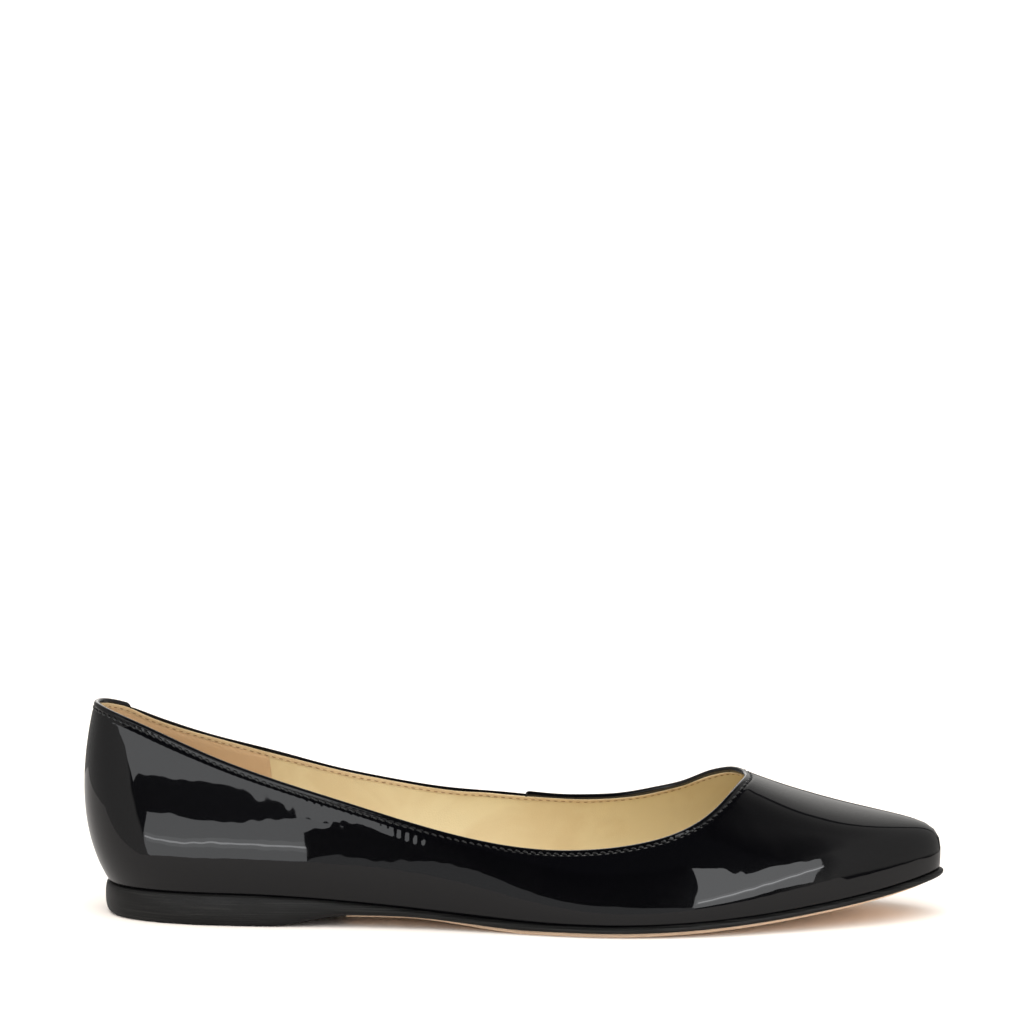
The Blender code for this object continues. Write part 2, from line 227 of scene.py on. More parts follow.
@dataclass(frozen=True)
class Last:
    """The foot form that the shoe is made over, with the part's own driving sizes."""

    length: float = 0.262
    ball_width: float = 0.080
    counter_height: float = 0.0557
    heel_lift: float = 0.0062
    toe_spring: float = 0.0110
    arch_height: float = 0.0037
    edge_thickness: float = 0.0019
    tread_thickness: float = 0.0009
    gap: float = 0.0003
    tangent_step: float = 0.0002
    lengths: Array = field(init=False, repr=False)
    around: float = field(init=False)

    def __post_init__(self) -> None:
        """Measure the chords between stations round the feather line."""
        foot = np.array([(s.along * self.length, s.across * self.ball_width) for s in STATIONS])
        chords = np.linalg.norm(np.roll(foot, -1, axis=0) - foot, axis=1)
        object.__setattr__(self, "lengths", np.append(0, np.cumsum(chords[:-1])))
        object.__setattr__(self, "around", float(chords.sum()))

    def place(self, name: str) -> float:
        """Distance round the feather line of a named station."""
        return float(self.lengths[[s.name for s in STATIONS].index(name)])

    def spring(self, x: Array) -> Array:
        """Rise of the toe, toe_spring times (share past 0.59) to the power 2.2."""
        share = np.clip(x / self.length - 0.590, 0.0, None) / (1 - 0.590)
        return self.toe_spring * share**2.2

    def sole_top(self, x: Array) -> Array:
        """Height of the feather line: forefoot thickness, plus the eased heel lift, plus spring.

        Args:
            x: Distances from the heel.

        Returns:
            The height at each.
        """
        fall = smooth_step(x / self.length, 0.168, 0.573)
        forefoot = self.tread_thickness + self.gap + self.edge_thickness
        return forefoot + self.heel_lift * (1 - fall) + self.spring(x)

    def sole_bottom(self, x: Array) -> Array:
        """Height of the sole's underside: 0 at the heel, arched at the waist, then the tread's.

        Args:
            x: Distances from the heel.

        Returns:
            The height at each.
        """
        share = x / self.length
        tread = self.tread_thickness + self.gap
        breast = smooth_step(share, 0.214, 0.321)
        waist = 1 - smooth_step(share, 0.370, 0.525)
        return breast * (tread + waist * (self.arch_height - tread)) + self.spring(x)

    def lines(self, at: Array) -> tuple[Array, Array]:
        """Feather line and topline points, each a periodic spline through the stations.

        Args:
            at: Distances round the feather line, from the heel up the outer side.

        Returns:
            Points of the feather line and of the topline.
        """
        rows = np.array([station[1:] for station in STATIONS])
        read = spline(self.lengths, rows, np.asarray(at), self.around).T
        along, across, top_along, top_across, top_height = read
        x = along * self.length
        top_x = top_along * self.length
        foot = np.stack([x, across * self.ball_width, self.sole_top(x) + self.gap], axis=1)
        top_z = self.sole_top(top_x) + top_height * self.counter_height
        return foot, np.stack([top_x, top_across * self.ball_width, top_z], axis=1)

    def outward(self, at: Array) -> Array:
        """Plan normals of the feather line: its tangent (x, y) turned to (y, -x).

        Args:
            at: Distances round the feather line.

        Returns:
            Level unit vectors as (places, 3).
        """
        ahead, _ = self.lines(at + self.tangent_step)
        behind, _ = self.lines(at - self.tangent_step)
        tangent = unit((ahead - behind)[:, :2])
        return np.stack([tangent[:, 1], -tangent[:, 0], np.zeros(len(tangent))], axis=1)

    def handles(self, at: Array) -> Array:
        """Five handles of the wall at each place: foot, three from the wall table, and topline.

        Args:
            at: Distances round the feather line.

        Returns:
            Handles as (5, places, 3).
        """
        foot, top = self.lines(at)
        normal = self.outward(at)
        rows = np.array(WALLS)
        shape = spline(rows[:, 0], rows[:, 1:], foot[:, 0] / self.length)
        out1, rise1, reach2, out2, rise2, reach3, out3, rise3 = shape.T[:, :, None]
        level = (top - foot) * (1, 1, 0)
        up = (top - foot) * (0, 0, 1)
        wide = self.ball_width * normal
        low = foot + out1 * wide + rise1 * up
        shoulder = foot + reach2 * level + out2 * wide + rise2 * up
        neck = foot + reach3 * level + out3 * wide + rise3 * up
        return np.stack([foot, low, shoulder, neck, top])

    def outline(self, at: Array, out: Array | float) -> Array:
        """Plan points standing out beyond the feather line, at distances round it."""
        foot, _ = self.lines(at)
        return (foot + np.reshape(out, (-1, 1)) * self.outward(at))[:, :2]

    def even_places(self, start: float, end: float, top_step: float, foot_step: float) -> Array:
        """Places whose steps stay under both given lengths.

        The density is the root of the summed squares of each line's speed over its step, and the
        places stand at even shares of its running sum.

        Args:
            start: First place.
            end: Last place.
            top_step: Longest step along the topline.
            foot_step: Longest step along the feather line.

        Returns:
            Rising places, with both ends.
        """
        fine = np.linspace(start, end, 6001)
        foot, top = self.lines(fine)
        steps = np.hypot(
            np.linalg.norm(np.diff(top, axis=0), axis=1) / top_step,
            np.linalg.norm(np.diff(foot, axis=0), axis=1) / foot_step,
        )
        total = np.append(0, np.cumsum(steps))
        return np.interp(np.linspace(0, total[-1], int(total[-1]) + 2), total, fine)

    def mirrored_places(self, half: int, ease: float = 0.45) -> Array:
        """Places up the outer side and back down the inner, closer together at heel and toe.

        An even share t is moved back by ease times sin(2 pi t) / (2 pi).

        Args:
            half: Places on each side.
            ease: How strongly they gather at heel and toe, from 0 to 1.

        Returns:
            Distances round the feather line.
        """
        toe = self.place("toe_tip")
        share = (np.arange(half) + 0.5) / half
        eased = share - ease * np.sin(2 * np.pi * share) / (2 * np.pi)
        return np.append(toe * eased, toe + (self.around - toe) * eased)


class WallFace:
    """The last's wall above chosen places, read by depth below its crest."""

    def __init__(self, last: Last, at: Array, fine: int = 241) -> None:
        """Measure each wall curve.

        Args:
            last: The last.
            at: Distances round its feather line.
            fine: Points that each curve is measured with.
        """
        self.last = last
        self.at = at
        self.handles = last.handles(at)
        step = last.tangent_step
        self.turning = last.handles(at + step) - last.handles(at - step)
        self.share = np.broadcast_to(np.linspace(1, 0, fine), (len(at), fine))
        points = bezier(self.handles, self.share)
        steps = np.linalg.norm(np.diff(points, axis=1), axis=2)
        self.depth = np.pad(np.cumsum(steps, axis=1), ((0, 0), (1, 0)))
        self.height = self.depth[:, -1:]

    def read(self, depth: Array) -> tuple[Array, Array, Array]:
        """Points, outward normals and upward tangents at depths below the crest.

        The share of each curve comes from its measured depths. The normal is the cross product
        of the step round the shoe and the step up the wall.

        Args:
            depth: Depths as (places, rows).

        Returns:
            Three arrays as (places, rows, 3).
        """
        column = 2.0 * np.arange(len(self.at))[:, None]
        known = self.depth / self.height + column
        wanted = np.clip(depth / self.height, 0, 1) + column
        share = np.interp(wanted.ravel(), known.ravel(), self.share.ravel()).reshape(depth.shape)
        upward = unit(bezier(4 * np.diff(self.handles, axis=0), share))
        normal = unit(np.cross(bezier(self.turning, share), upward))
        return bezier(self.handles, share), normal, upward

    def fold(self, over: Array, inset: float, drop: float) -> tuple[Array, Array]:
        """The skin that runs up the wall, over the topline and down inside it.

        Its section is the wall, a half circle across the wall's thickness, and the wall again
        from inside: the centre of the wall plus the radius times (cos t normal + sin t upward),
        with t going from 0 to pi over the crest.

        Args:
            over: Distance over the skin from the crest, positive outside, as (places, rows).
            inset: How far the skin lies under the last's face.
            drop: How far its crest lies below the last's.

        Returns:
            Points and the skin's normals as (places, rows, 3).
        """
        radius = (WALL - inset) / 2
        quarter = math.pi / 2 * radius
        point, normal, upward = self.read(LIP + drop + np.clip(abs(over) - quarter, 0, None))
        turn = np.clip(math.pi / 2 * (1 - over / quarter), 0, math.pi)[..., None]
        facing = np.cos(turn) * normal + np.sin(turn) * upward
        return point - (inset + radius) * normal + radius * facing, facing


# Meshes


class Skin(NamedTuple):
    """A closed surface: points, four-sided faces, three-sided faces and a UV for each point."""

    points: Array
    quads: Array
    triangles: Array
    uv: Array | None = None


def grid_quads(index: Array) -> Array:
    """Four-sided faces between the rows and columns of a grid of point numbers."""
    corners = (index[:-1, :-1], index[1:, :-1], index[1:, 1:], index[:-1, 1:])
    return np.stack(corners, axis=-1).reshape(-1, 4)


def zip_faces(left: Array, right: Array) -> Array:
    """Triangles between two lines of point numbers, each step joined to the other line's place.

    Args:
        left: Point numbers of one line.
        right: Point numbers of the other, which may be longer or shorter.

    Returns:
        Triangles as rows of three point numbers.
    """
    share_left = np.arange(1, len(left)) / (len(left) - 1)
    share_right = np.arange(1, len(right)) / (len(right) - 1)
    across = np.searchsorted(share_right, share_left, side="left")
    back = np.searchsorted(share_left, share_right, side="right")
    from_left = np.column_stack([left[:-1], left[1:], right[across]])
    from_right = np.column_stack([left[back], right[1:], right[:-1]])
    return np.vstack([from_left, from_right])


def band(outer: Array, inner: Array, closed: bool) -> Skin:
    """A band of leather with an outer and an inner face, joined along its edges and ends.

    Args:
        outer: Outer face as (places, rows, 3), rows going up the shoe.
        inner: Inner face, with its own number of rows going the same way.
        closed: Whether the band closes round the shoe.

    Returns:
        The closed surface.
    """
    section = np.concatenate([outer, inner[:, ::-1]], axis=1)
    places, size, _ = section.shape
    index = np.arange(places * size).reshape(places, size)
    ring = np.column_stack([index, index[:, 0]])
    if closed:
        quads = grid_quads(np.vstack([ring, ring[:1]]))
        return Skin(section.reshape(-1, 3), quads, np.zeros((0, 3), int))
    rows = outer.shape[1]
    first = zip_faces(index[0, :rows], index[0, rows:][::-1])
    last = zip_faces(index[-1, :rows], index[-1, rows:][::-1])[:, ::-1]
    return Skin(section.reshape(-1, 3), grid_quads(ring), np.vstack([first, last]))


def pillow(top: Array, bottom: Array) -> Skin:
    """Two grids with the same border, joined along it, the top one facing up.

    Args:
        top: Upper grid as (rungs, places across, 3).
        bottom: Lower grid of the same shape; only its inner points are used.

    Returns:
        The closed surface.
    """
    rungs, across, _ = top.shape
    upper = np.arange(rungs * across).reshape(rungs, across)
    lower = upper.copy()
    inner_count = (rungs - 2) * (across - 2)
    lower[1:-1, 1:-1] = rungs * across + np.arange(inner_count).reshape(rungs - 2, across - 2)
    points = np.vstack([top.reshape(-1, 3), bottom[1:-1, 1:-1].reshape(-1, 3)])
    quads = np.vstack([grid_quads(upper), grid_quads(lower)[:, ::-1]])
    return Skin(points, quads, np.zeros((0, 3), int))


def make_piece(name: str, skin: Skin, material: bpy.types.Material,
               sharp: float = 50.0) -> bpy.types.Object:
    """Puts a surface into the scene as one piece that rides on the shoe's only body.

    Args:
        name: The piece's name.
        skin: Its surface, measured from the heel point.
        material: Its material.
        sharp: Angle in degrees past which an edge is shaded sharp.

    Returns:
        The finished piece.
    """
    mesh = bpy.data.meshes.new(name)
    faces = skin.quads.tolist() + skin.triangles.tolist()
    mesh.from_pydata((skin.points + HEEL_POINT).tolist(), [], faces)
    mesh.validate()
    mesh.materials.append(material)
    mesh.shade_smooth()
    mesh.set_sharp_from_angle(angle=math.radians(sharp))
    if skin.uv is not None:
        corner = np.empty(len(mesh.loops), dtype=np.int32)
        mesh.loops.foreach_get("vertex_index", corner)
        layer = mesh.uv_layers.new(name="along_thread")
        layer.uv.foreach_set("vector", skin.uv[corner].astype(np.float32).ravel())
    piece = bpy.data.objects.new(name, mesh)
    bpy.context.scene.collection.objects.link(piece)
    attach(piece, "root")
    return piece


# Finishes


Link = bpy.types.NodeSocket | float | tuple


class Graph:
    """Short calls that place and wire the nodes of one material or group."""

    def __init__(self, tree: bpy.types.NodeTree) -> None:
        """Take a node tree to work in."""
        self.tree = tree

    def add(self, kind: str, inputs: dict | None = None, **settings: object) -> bpy.types.Node:
        """Adds a node.

        Args:
            kind: Blender's name of the node type.
            inputs: A value, or an output socket to link from, for inputs by name or number.
            settings: Properties of the node itself.

        Returns:
            The node.
        """
        node = self.tree.nodes.new(kind)
        for name, value in settings.items():
            setattr(node, name, value)
        for key, value in (inputs or {}).items():
            if isinstance(value, bpy.types.NodeSocket):
                self.tree.links.new(value, node.inputs[key])
            else:
                node.inputs[key].default_value = value
        return node

    def math(self, operation: str, first: Link, second: Link = 0.0) -> bpy.types.NodeSocket:
        """The output of one arithmetic step."""
        return self.add("ShaderNodeMath", {0: first, 1: second}, operation=operation).outputs[0]

    def ramp(self, value: Link, start: float, end: float) -> bpy.types.NodeSocket:
        """0 below start, 1 above end and a smooth rise between them."""
        inputs = {"Value": value, "From Min": start, "From Max": end}
        return self.add("ShaderNodeMapRange", inputs, interpolation_type="SMOOTHSTEP").outputs[0]

    def mix(self, mask: Link, low: tuple, high: tuple | Link) -> bpy.types.NodeSocket:
        """The colour low where the mask is 0 and high where it is 1."""
        inputs = {"Factor": mask, 6: low, 7: high}
        return self.add("ShaderNodeMix", inputs, data_type="RGBA", clamp_factor=True).outputs[2]


class Effect(Enum):
    """Surface effects that several finishes share, by the names of their node groups."""

    GRAIN = "leather_grain"
    SMUDGE = "handling_smudges"
    STREAK = "drawn_streaks"


SOCKETS = {
    Effect.GRAIN: (("Cell Size", 0.8 * MM), ("Height", "Pores")),
    Effect.SMUDGE: (("Patch Size", 25 * MM), ("Mask", "Dust")),
    Effect.STREAK: (("Line Height", 0.2 * MM), ("Height", "Mask")),
}


def effect_group(effect: Effect) -> bpy.types.NodeTree:
    """The node group of a shared effect, built the first time it is asked for.

    Grain is the distance to the borders of random cells, softened by noise. Smudges are two
    noises past a threshold. Streaks are noise stretched a hundredfold along the shoe.

    Args:
        effect: The effect wanted.

    Returns:
        Its node group, with a vector and a size in, and two varying values out.
    """
    if effect.value in bpy.data.node_groups:
        return bpy.data.node_groups[effect.value]
    tree = bpy.data.node_groups.new(effect.value, "ShaderNodeTree")
    (size_name, size), outputs = SOCKETS[effect]
    tree.interface.new_socket("Vector", in_out="INPUT", socket_type="NodeSocketVector")
    asked = tree.interface.new_socket(size_name, in_out="INPUT", socket_type="NodeSocketFloat")
    asked.default_value = size
    for name in outputs:
        tree.interface.new_socket(name, in_out="OUTPUT", socket_type="NodeSocketFloat")
    graph = Graph(tree)
    given = graph.add("NodeGroupInput").outputs
    scale = graph.math("DIVIDE", 1.0, given[size_name])
    place = given["Vector"]
    if effect is Effect.GRAIN:
        cells = graph.add("ShaderNodeTexVoronoi", {"Vector": place, "Scale": scale},
                          feature="DISTANCE_TO_EDGE")
        fine = graph.add("ShaderNodeTexNoise",
                         {"Vector": place, "Scale": graph.math("MULTIPLY", scale, 2.5),
                          "Detail": 3.0, "Roughness": 0.6})
        pebble = graph.ramp(cells.outputs["Distance"], 0.0, 0.22)
        speck = graph.math("MULTIPLY", fine.outputs[0], 0.8)
        first = graph.math("ADD", pebble, speck)
        second = graph.ramp(fine.outputs[0], 0.62, 0.74)
    elif effect is Effect.SMUDGE:
        wide = graph.add("ShaderNodeTexNoise",
                         {"Vector": place, "Scale": scale, "Detail": 4.0, "Roughness": 0.55,
                          "Distortion": 0.6})
        near = graph.add("ShaderNodeTexNoise",
                         {"Vector": place, "Scale": graph.math("MULTIPLY", scale, 40.0),
                          "Detail": 2.0, "Roughness": 0.7})
        first = graph.ramp(wide.outputs[0], 0.46, 0.70)
        second = graph.ramp(near.outputs[0], 0.66, 0.78)
    else:
        stretched = graph.add("ShaderNodeVectorMath", {0: place, 1: (0.012, 0.012, 1.0)},
                              operation="MULTIPLY")
        line = graph.add("ShaderNodeTexNoise",
                         {"Vector": stretched.outputs[0], "Scale": scale, "Detail": 3.0,
                          "Roughness": 0.6})
        first = line.outputs[0]
        second = graph.ramp(line.outputs[0], 0.46, 0.68)
    graph.add("NodeGroupOutput", {outputs[0]: first, outputs[1]: second})
    return tree


@dataclass(frozen=True)
class Finish:
    """What every finish has: a name, its colour and the darker or lighter colour of its marks."""

    name: str
    colour: tuple[float, float, float]
    marks: tuple[float, float, float]
    roughness: float
    grain: float = 0.8 * MM
    relief: float = 0.02 * MM
    patches: float = 25 * MM

    def start(self) -> tuple[Graph, bpy.types.Node, bpy.types.Material]:
        """Opens a new material.

        Returns:
            Its graph, its main shader and the material itself.
        """
        material = bpy.data.materials.new(self.name)
        material.use_nodes = True
        shader = material.node_tree.nodes["Principled BSDF"]
        shader.inputs["Base Color"].default_value = (*self.colour, 1)
        shader.inputs["Roughness"].default_value = self.roughness
        return Graph(material.node_tree), shader, material

    def effect(self, graph: Graph, effect: Effect, size: float) -> bpy.types.Node:
        """A shared effect placed in this finish, read in the piece's own coordinates.

        Args:
            graph: The material's graph.
            effect: The effect wanted.
            size: Size of its pattern in metres.

        Returns:
            The node, with the effect's two outputs.
        """
        place = graph.add("ShaderNodeTexCoord").outputs["Object"]
        node = graph.add("ShaderNodeGroup", node_tree=effect_group(effect))
        graph.tree.links.new(place, node.inputs["Vector"])
        node.inputs[1].default_value = size
        return node

    def relieve(self, graph: Graph, shader: bpy.types.Node, height: Link, depth: float) -> None:
        """Lets a height shape the shader's normal.

        Args:
            graph: The material's graph.
            shader: Its main shader.
            height: Height of the pattern.
            depth: Metres that a height of 1 stands for.
        """
        inputs = {"Height": height, "Distance": depth, "Strength": 1.0}
        bump = graph.add("ShaderNodeBump", inputs)
        graph.tree.links.new(bump.outputs["Normal"], shader.inputs["Normal"])

    def roughen(self, graph: Graph, shader: bpy.types.Node, mask: Link, rough: float) -> None:
        """Raises the roughness to a second value where the mask is 1.

        Args:
            graph: The material's graph.
            shader: Its main shader.
            mask: Where it is raised.
            rough: The second value.
        """
        inputs = {"Value": mask, "To Min": self.roughness, "To Max": rough}
        node = graph.add("ShaderNodeMapRange", inputs)
        graph.tree.links.new(node.outputs["Result"], shader.inputs["Roughness"])

    def mark(self, graph: Graph, shader: bpy.types.Node, mask: Link) -> None:
        """Colours the surface with its marks where the mask is 1."""
        colour = graph.mix(mask, (*self.colour, 1), (*self.marks, 1))
        graph.tree.links.new(colour, shader.inputs["Base Color"])


@dataclass(frozen=True)
class PatentLeather(Finish):
    """Black leather under a clear glossy film: a dark grained base and a mirror coat."""

    def make(self) -> bpy.types.Material:
        """Builds the material.

        Returns:
            The material.
        """
        graph, shader, material = self.start()
        grain = self.effect(graph, Effect.GRAIN, self.grain)
        smudge = self.effect(graph, Effect.SMUDGE, self.patches)
        self.mark(graph, shader, smudge.outputs["Dust"])
        self.roughen(graph, shader, smudge.outputs["Mask"], self.roughness + 0.12)
        self.relieve(graph, shader, grain.outputs["Height"], self.relief)
        shader.inputs["Specular IOR Level"].default_value = 0.04
        shader.inputs["Coat Weight"].default_value = 1.0
        shader.inputs["Coat Roughness"].default_value = 0.025
        shader.inputs["Coat IOR"].default_value = 1.5
        return material


@dataclass(frozen=True)
class SmoothLeather(Finish):
    """Plain lining or insole leather with fine pores, a soft sheen and faint smudges."""

    polish: float = 0.10

    def make(self) -> bpy.types.Material:
        """Builds the material.

        Returns:
            The material.
        """
        graph, shader, material = self.start()
        grain = self.effect(graph, Effect.GRAIN, self.grain)
        smudge = self.effect(graph, Effect.SMUDGE, self.patches)
        spots = graph.math("MULTIPLY", grain.outputs["Pores"], 0.30)
        cloud = graph.math("MULTIPLY", smudge.outputs["Mask"], 0.55)
        self.mark(graph, shader, graph.math("MAXIMUM", spots, cloud))
        self.roughen(graph, shader, smudge.outputs["Mask"], self.roughness + 0.15)
        self.relieve(graph, shader, grain.outputs["Height"], self.relief)
        shader.inputs["Coat Weight"].default_value = self.polish
        shader.inputs["Coat Roughness"].default_value = 0.35
        return material


@dataclass(frozen=True)
class Suede(Finish):
    """Napped leather: a fuzzy surface brushed in soft patches, with sheen."""

    def make(self) -> bpy.types.Material:
        """Builds the material.

        Returns:
            The material.
        """
        graph, shader, material = self.start()
        nap = self.effect(graph, Effect.SMUDGE, self.patches)
        fuzz = self.effect(graph, Effect.GRAIN, self.grain)
        cover = graph.math("MULTIPLY", nap.outputs["Mask"], 0.35)
        spots = graph.math("MULTIPLY", fuzz.outputs["Height"], 0.35)
        self.mark(graph, shader, graph.math("MAXIMUM", cover, spots))
        self.relieve(graph, shader, fuzz.outputs["Height"], self.relief)
        shader.inputs["Sheen Weight"].default_value = 0.35
        shader.inputs["Sheen Roughness"].default_value = 0.45
        shader.inputs["Specular IOR Level"].default_value = 0.15
        return material


@dataclass(frozen=True)
class Thread(Finish):
    """Twisted sewing thread: ridges wound round the stitch, read from its own UV, with painted
    shade in the grooves between them.
    """

    twist: float = 5.0
    gloss: float = 1.0

    def make(self) -> bpy.types.Material:
        """Builds the material.

        Returns:
            The material.
        """
        graph, shader, material = self.start()
        place = graph.add("ShaderNodeTexCoord").outputs["UV"]
        split = graph.add("ShaderNodeSeparateXYZ", {0: place}).outputs
        wound = graph.math("ADD", graph.math("MULTIPLY", split["X"], self.twist), split["Y"])
        wave = graph.math("SINE", graph.math("MULTIPLY", wound, 2 * math.pi))
        ridge = graph.ramp(wave, -1.0, 1.0)
        # painted shade: the darker marks colour is laid where the ridges are low, in the grooves of
        # the twist
        self.mark(graph, shader, graph.math("SUBTRACT", 1.0, ridge))
        self.relieve(graph, shader, ridge, self.relief)
        shader.inputs["Coat Weight"].default_value = self.gloss
        shader.inputs["Coat Roughness"].default_value = 0.10
        return material


@dataclass(frozen=True)
class SoleRubber(Finish):
    """Moulded rubber with a satin face and fine level streaks from the trimming, coloured lighter
    partly as scratches and partly as a painted sheen.
    """

    def make(self) -> bpy.types.Material:
        """Builds the material.

        Returns:
            The material.
        """
        graph, shader, material = self.start()
        streaks_and_painted_sheen = self.effect(graph, Effect.STREAK, self.grain)
        smudge = self.effect(graph, Effect.SMUDGE, self.patches)
        pits = self.effect(graph, Effect.GRAIN, 0.35 * MM)
        # the lighter streak colour is partly trimming scratches and partly a painted sheen along
        # the edge
        self.mark(graph, shader, graph.math("MULTIPLY", streaks_and_painted_sheen.outputs["Mask"], 0.8))
        self.roughen(graph, shader, smudge.outputs["Mask"], self.roughness + 0.14)
        fine = graph.math("MULTIPLY", pits.outputs["Height"], 0.25)
        height = graph.math("ADD", streaks_and_painted_sheen.outputs["Height"], fine)
        self.relieve(graph, shader, height, self.relief)
        shader.inputs["Specular IOR Level"].default_value = 0.38
        return material


PATENT = PatentLeather("patent_black", (0.0010, 0.0010, 0.0015), (0.0025, 0.0025, 0.0028), 0.30,
                       grain=0.5 * MM, relief=0.01 * MM, patches=40 * MM)
LINING = SmoothLeather("lining_beige", (0.650, 0.540, 0.315), (0.540, 0.400, 0.205), 0.42,
                       grain=0.7 * MM, relief=0.02 * MM, patches=30 * MM)
INSOLE = SmoothLeather("insole_beige", (0.640, 0.520, 0.300), (0.530, 0.390, 0.200), 0.40,
                       grain=0.9 * MM, relief=0.03 * MM, patches=38 * MM)
BINDING = SmoothLeather("binding_tan", (0.600, 0.455, 0.260), (0.480, 0.330, 0.165), 0.50,
                        grain=0.5 * MM, relief=0.02 * MM, patches=12 * MM, polish=0.0)
GRIP = Suede("grip_suede", (0.600, 0.410, 0.230), (0.480, 0.305, 0.155), 0.90,
             grain=0.30 * MM, relief=0.05 * MM, patches=9 * MM)
# The black thread's second colour is painted shade, laid in the grooves of its twist.
BLACK_THREAD = Thread("thread_black", (0.008, 0.008, 0.009), (0.002, 0.002, 0.002), 0.40,
                      relief=0.03 * MM)
# The brown thread's second colour is painted shade, laid in the grooves of its twist.
BROWN_THREAD = Thread("thread_brown", (0.360, 0.220, 0.110), (0.160, 0.085, 0.040), 0.60,
                      relief=0.03 * MM, gloss=0.0)
# The sole's lighter second colour, laid along the streaks, is partly scratches and partly a painted
# sheen.
SOLE = SoleRubber("sole_black", (0.0030, 0.0030, 0.0030), (0.014, 0.014, 0.013), 0.40,
                  grain=0.32 * MM, relief=0.05 * MM, patches=16 * MM)
TREAD = SmoothLeather("tread_tan", (0.780, 0.570, 0.400), (0.620, 0.420, 0.270), 0.60,
                      grain=0.45 * MM, relief=0.02 * MM, patches=20 * MM, polish=0.0)


# Stitching


@dataclass(frozen=True)
class StitchRow:
    """A row of short raised stitches laid along a line."""

    pitch: float = 2.33 * MM
    length: float = 1.80 * MM
    radius: float = 0.32 * MM
    arch: float = 0.38 * MM  # middle of a stitch above its ends
    sink: float = 0.20 * MM  # ends below the line
    slant: float = 16.0  # degrees that a stitch is turned in the surface
    rings: int = 6
    sides: int = 8

    def template(self) -> tuple[Array, Array, Array, Array]:
        """One stitch as (along, across, out) points with its faces and UVs.

        A ring at share t of the stitch stands at minus cos(pi t) half lengths, has radius times
        the square root of sin(pi t), and is lifted by arch times sin(pi t).

        Returns:
            Points, quads, triangles and UVs.
        """
        turn = np.pi * (np.arange(self.rings) + 0.6) / (self.rings + 0.2)
        angle = 2 * np.pi * np.arange(self.sides) / self.sides
        wide = self.radius * np.sqrt(np.sin(turn))
        along = np.repeat(-np.cos(turn) * self.length / 2, self.sides)
        across = np.outer(wide, np.cos(angle)).ravel()
        out = np.outer(wide, np.sin(angle)) + (self.arch * np.sin(turn) - self.sink)[:, None]
        rings = np.column_stack([along, across, out.ravel()])
        ends = [(-self.length / 2, 0, -self.sink), (self.length / 2, 0, -self.sink)]
        index = np.arange(self.rings * self.sides).reshape(self.rings, self.sides)
        loop = np.column_stack([index, index[:, 0]])
        first = np.column_stack([np.full(self.sides, index.size), loop[0, 1:], loop[0, :-1]])
        last = np.column_stack([np.full(self.sides, index.size + 1), loop[-1, :-1], loop[-1, 1:]])
        share = np.repeat(turn / np.pi, self.sides)
        uv = np.column_stack([share, np.tile(np.arange(self.sides) / self.sides, self.rings)])
        uv = np.vstack([uv, [(0, 0), (1, 0)]])
        return np.vstack([rings, ends]), grid_quads(loop), np.vstack([first, last]), uv

    def sew(self, line: Array, normals: Array, start: float = 0.0) -> Skin:
        """Lays stitches along a line, centred in even steps of about one pitch.

        Args:
            line: Points along the seam.
            normals: The leather's normal at each.
            start: Distance along the line at which the first step starts.

        Returns:
            All the stitches as one surface.
        """
        run = arc_length(line)
        count = max(int(round((run[-1] - start) / self.pitch)), 1)
        step = (run[-1] - start) / count
        middle = start + (np.arange(count) + 0.5) * step
        centre = np.stack([np.interp(middle, run, line[:, k]) for k in range(3)], axis=1)
        near = middle[:, None] + np.array([-0.4, 0.4]) * self.pitch
        ends = np.stack([np.interp(near, run, line[:, k]) for k in range(3)], axis=-1)
        out = unit(np.stack([np.interp(middle, run, normals[:, k]) for k in range(3)], axis=1))
        along = unit(ends[:, 1] - ends[:, 0])
        across = unit(np.cross(out, along))
        tilt = math.radians(self.slant)
        along, across = (
            math.cos(tilt) * along - math.sin(tilt) * across,
            math.sin(tilt) * along + math.cos(tilt) * across,
        )
        points, quads, triangles, uv = self.template()
        axes = np.stack([along, across, out], axis=1)
        placed = centre[:, None] + np.einsum("vk,nkd->nvd", points, axes)
        offset = (np.arange(count) * len(points))[:, None, None]
        return Skin(
            placed.reshape(-1, 3),
            (quads + offset).reshape(-1, 4),
            (triangles + offset).reshape(-1, 3),
            np.tile(uv, (count, 1)),
        )


# The upper


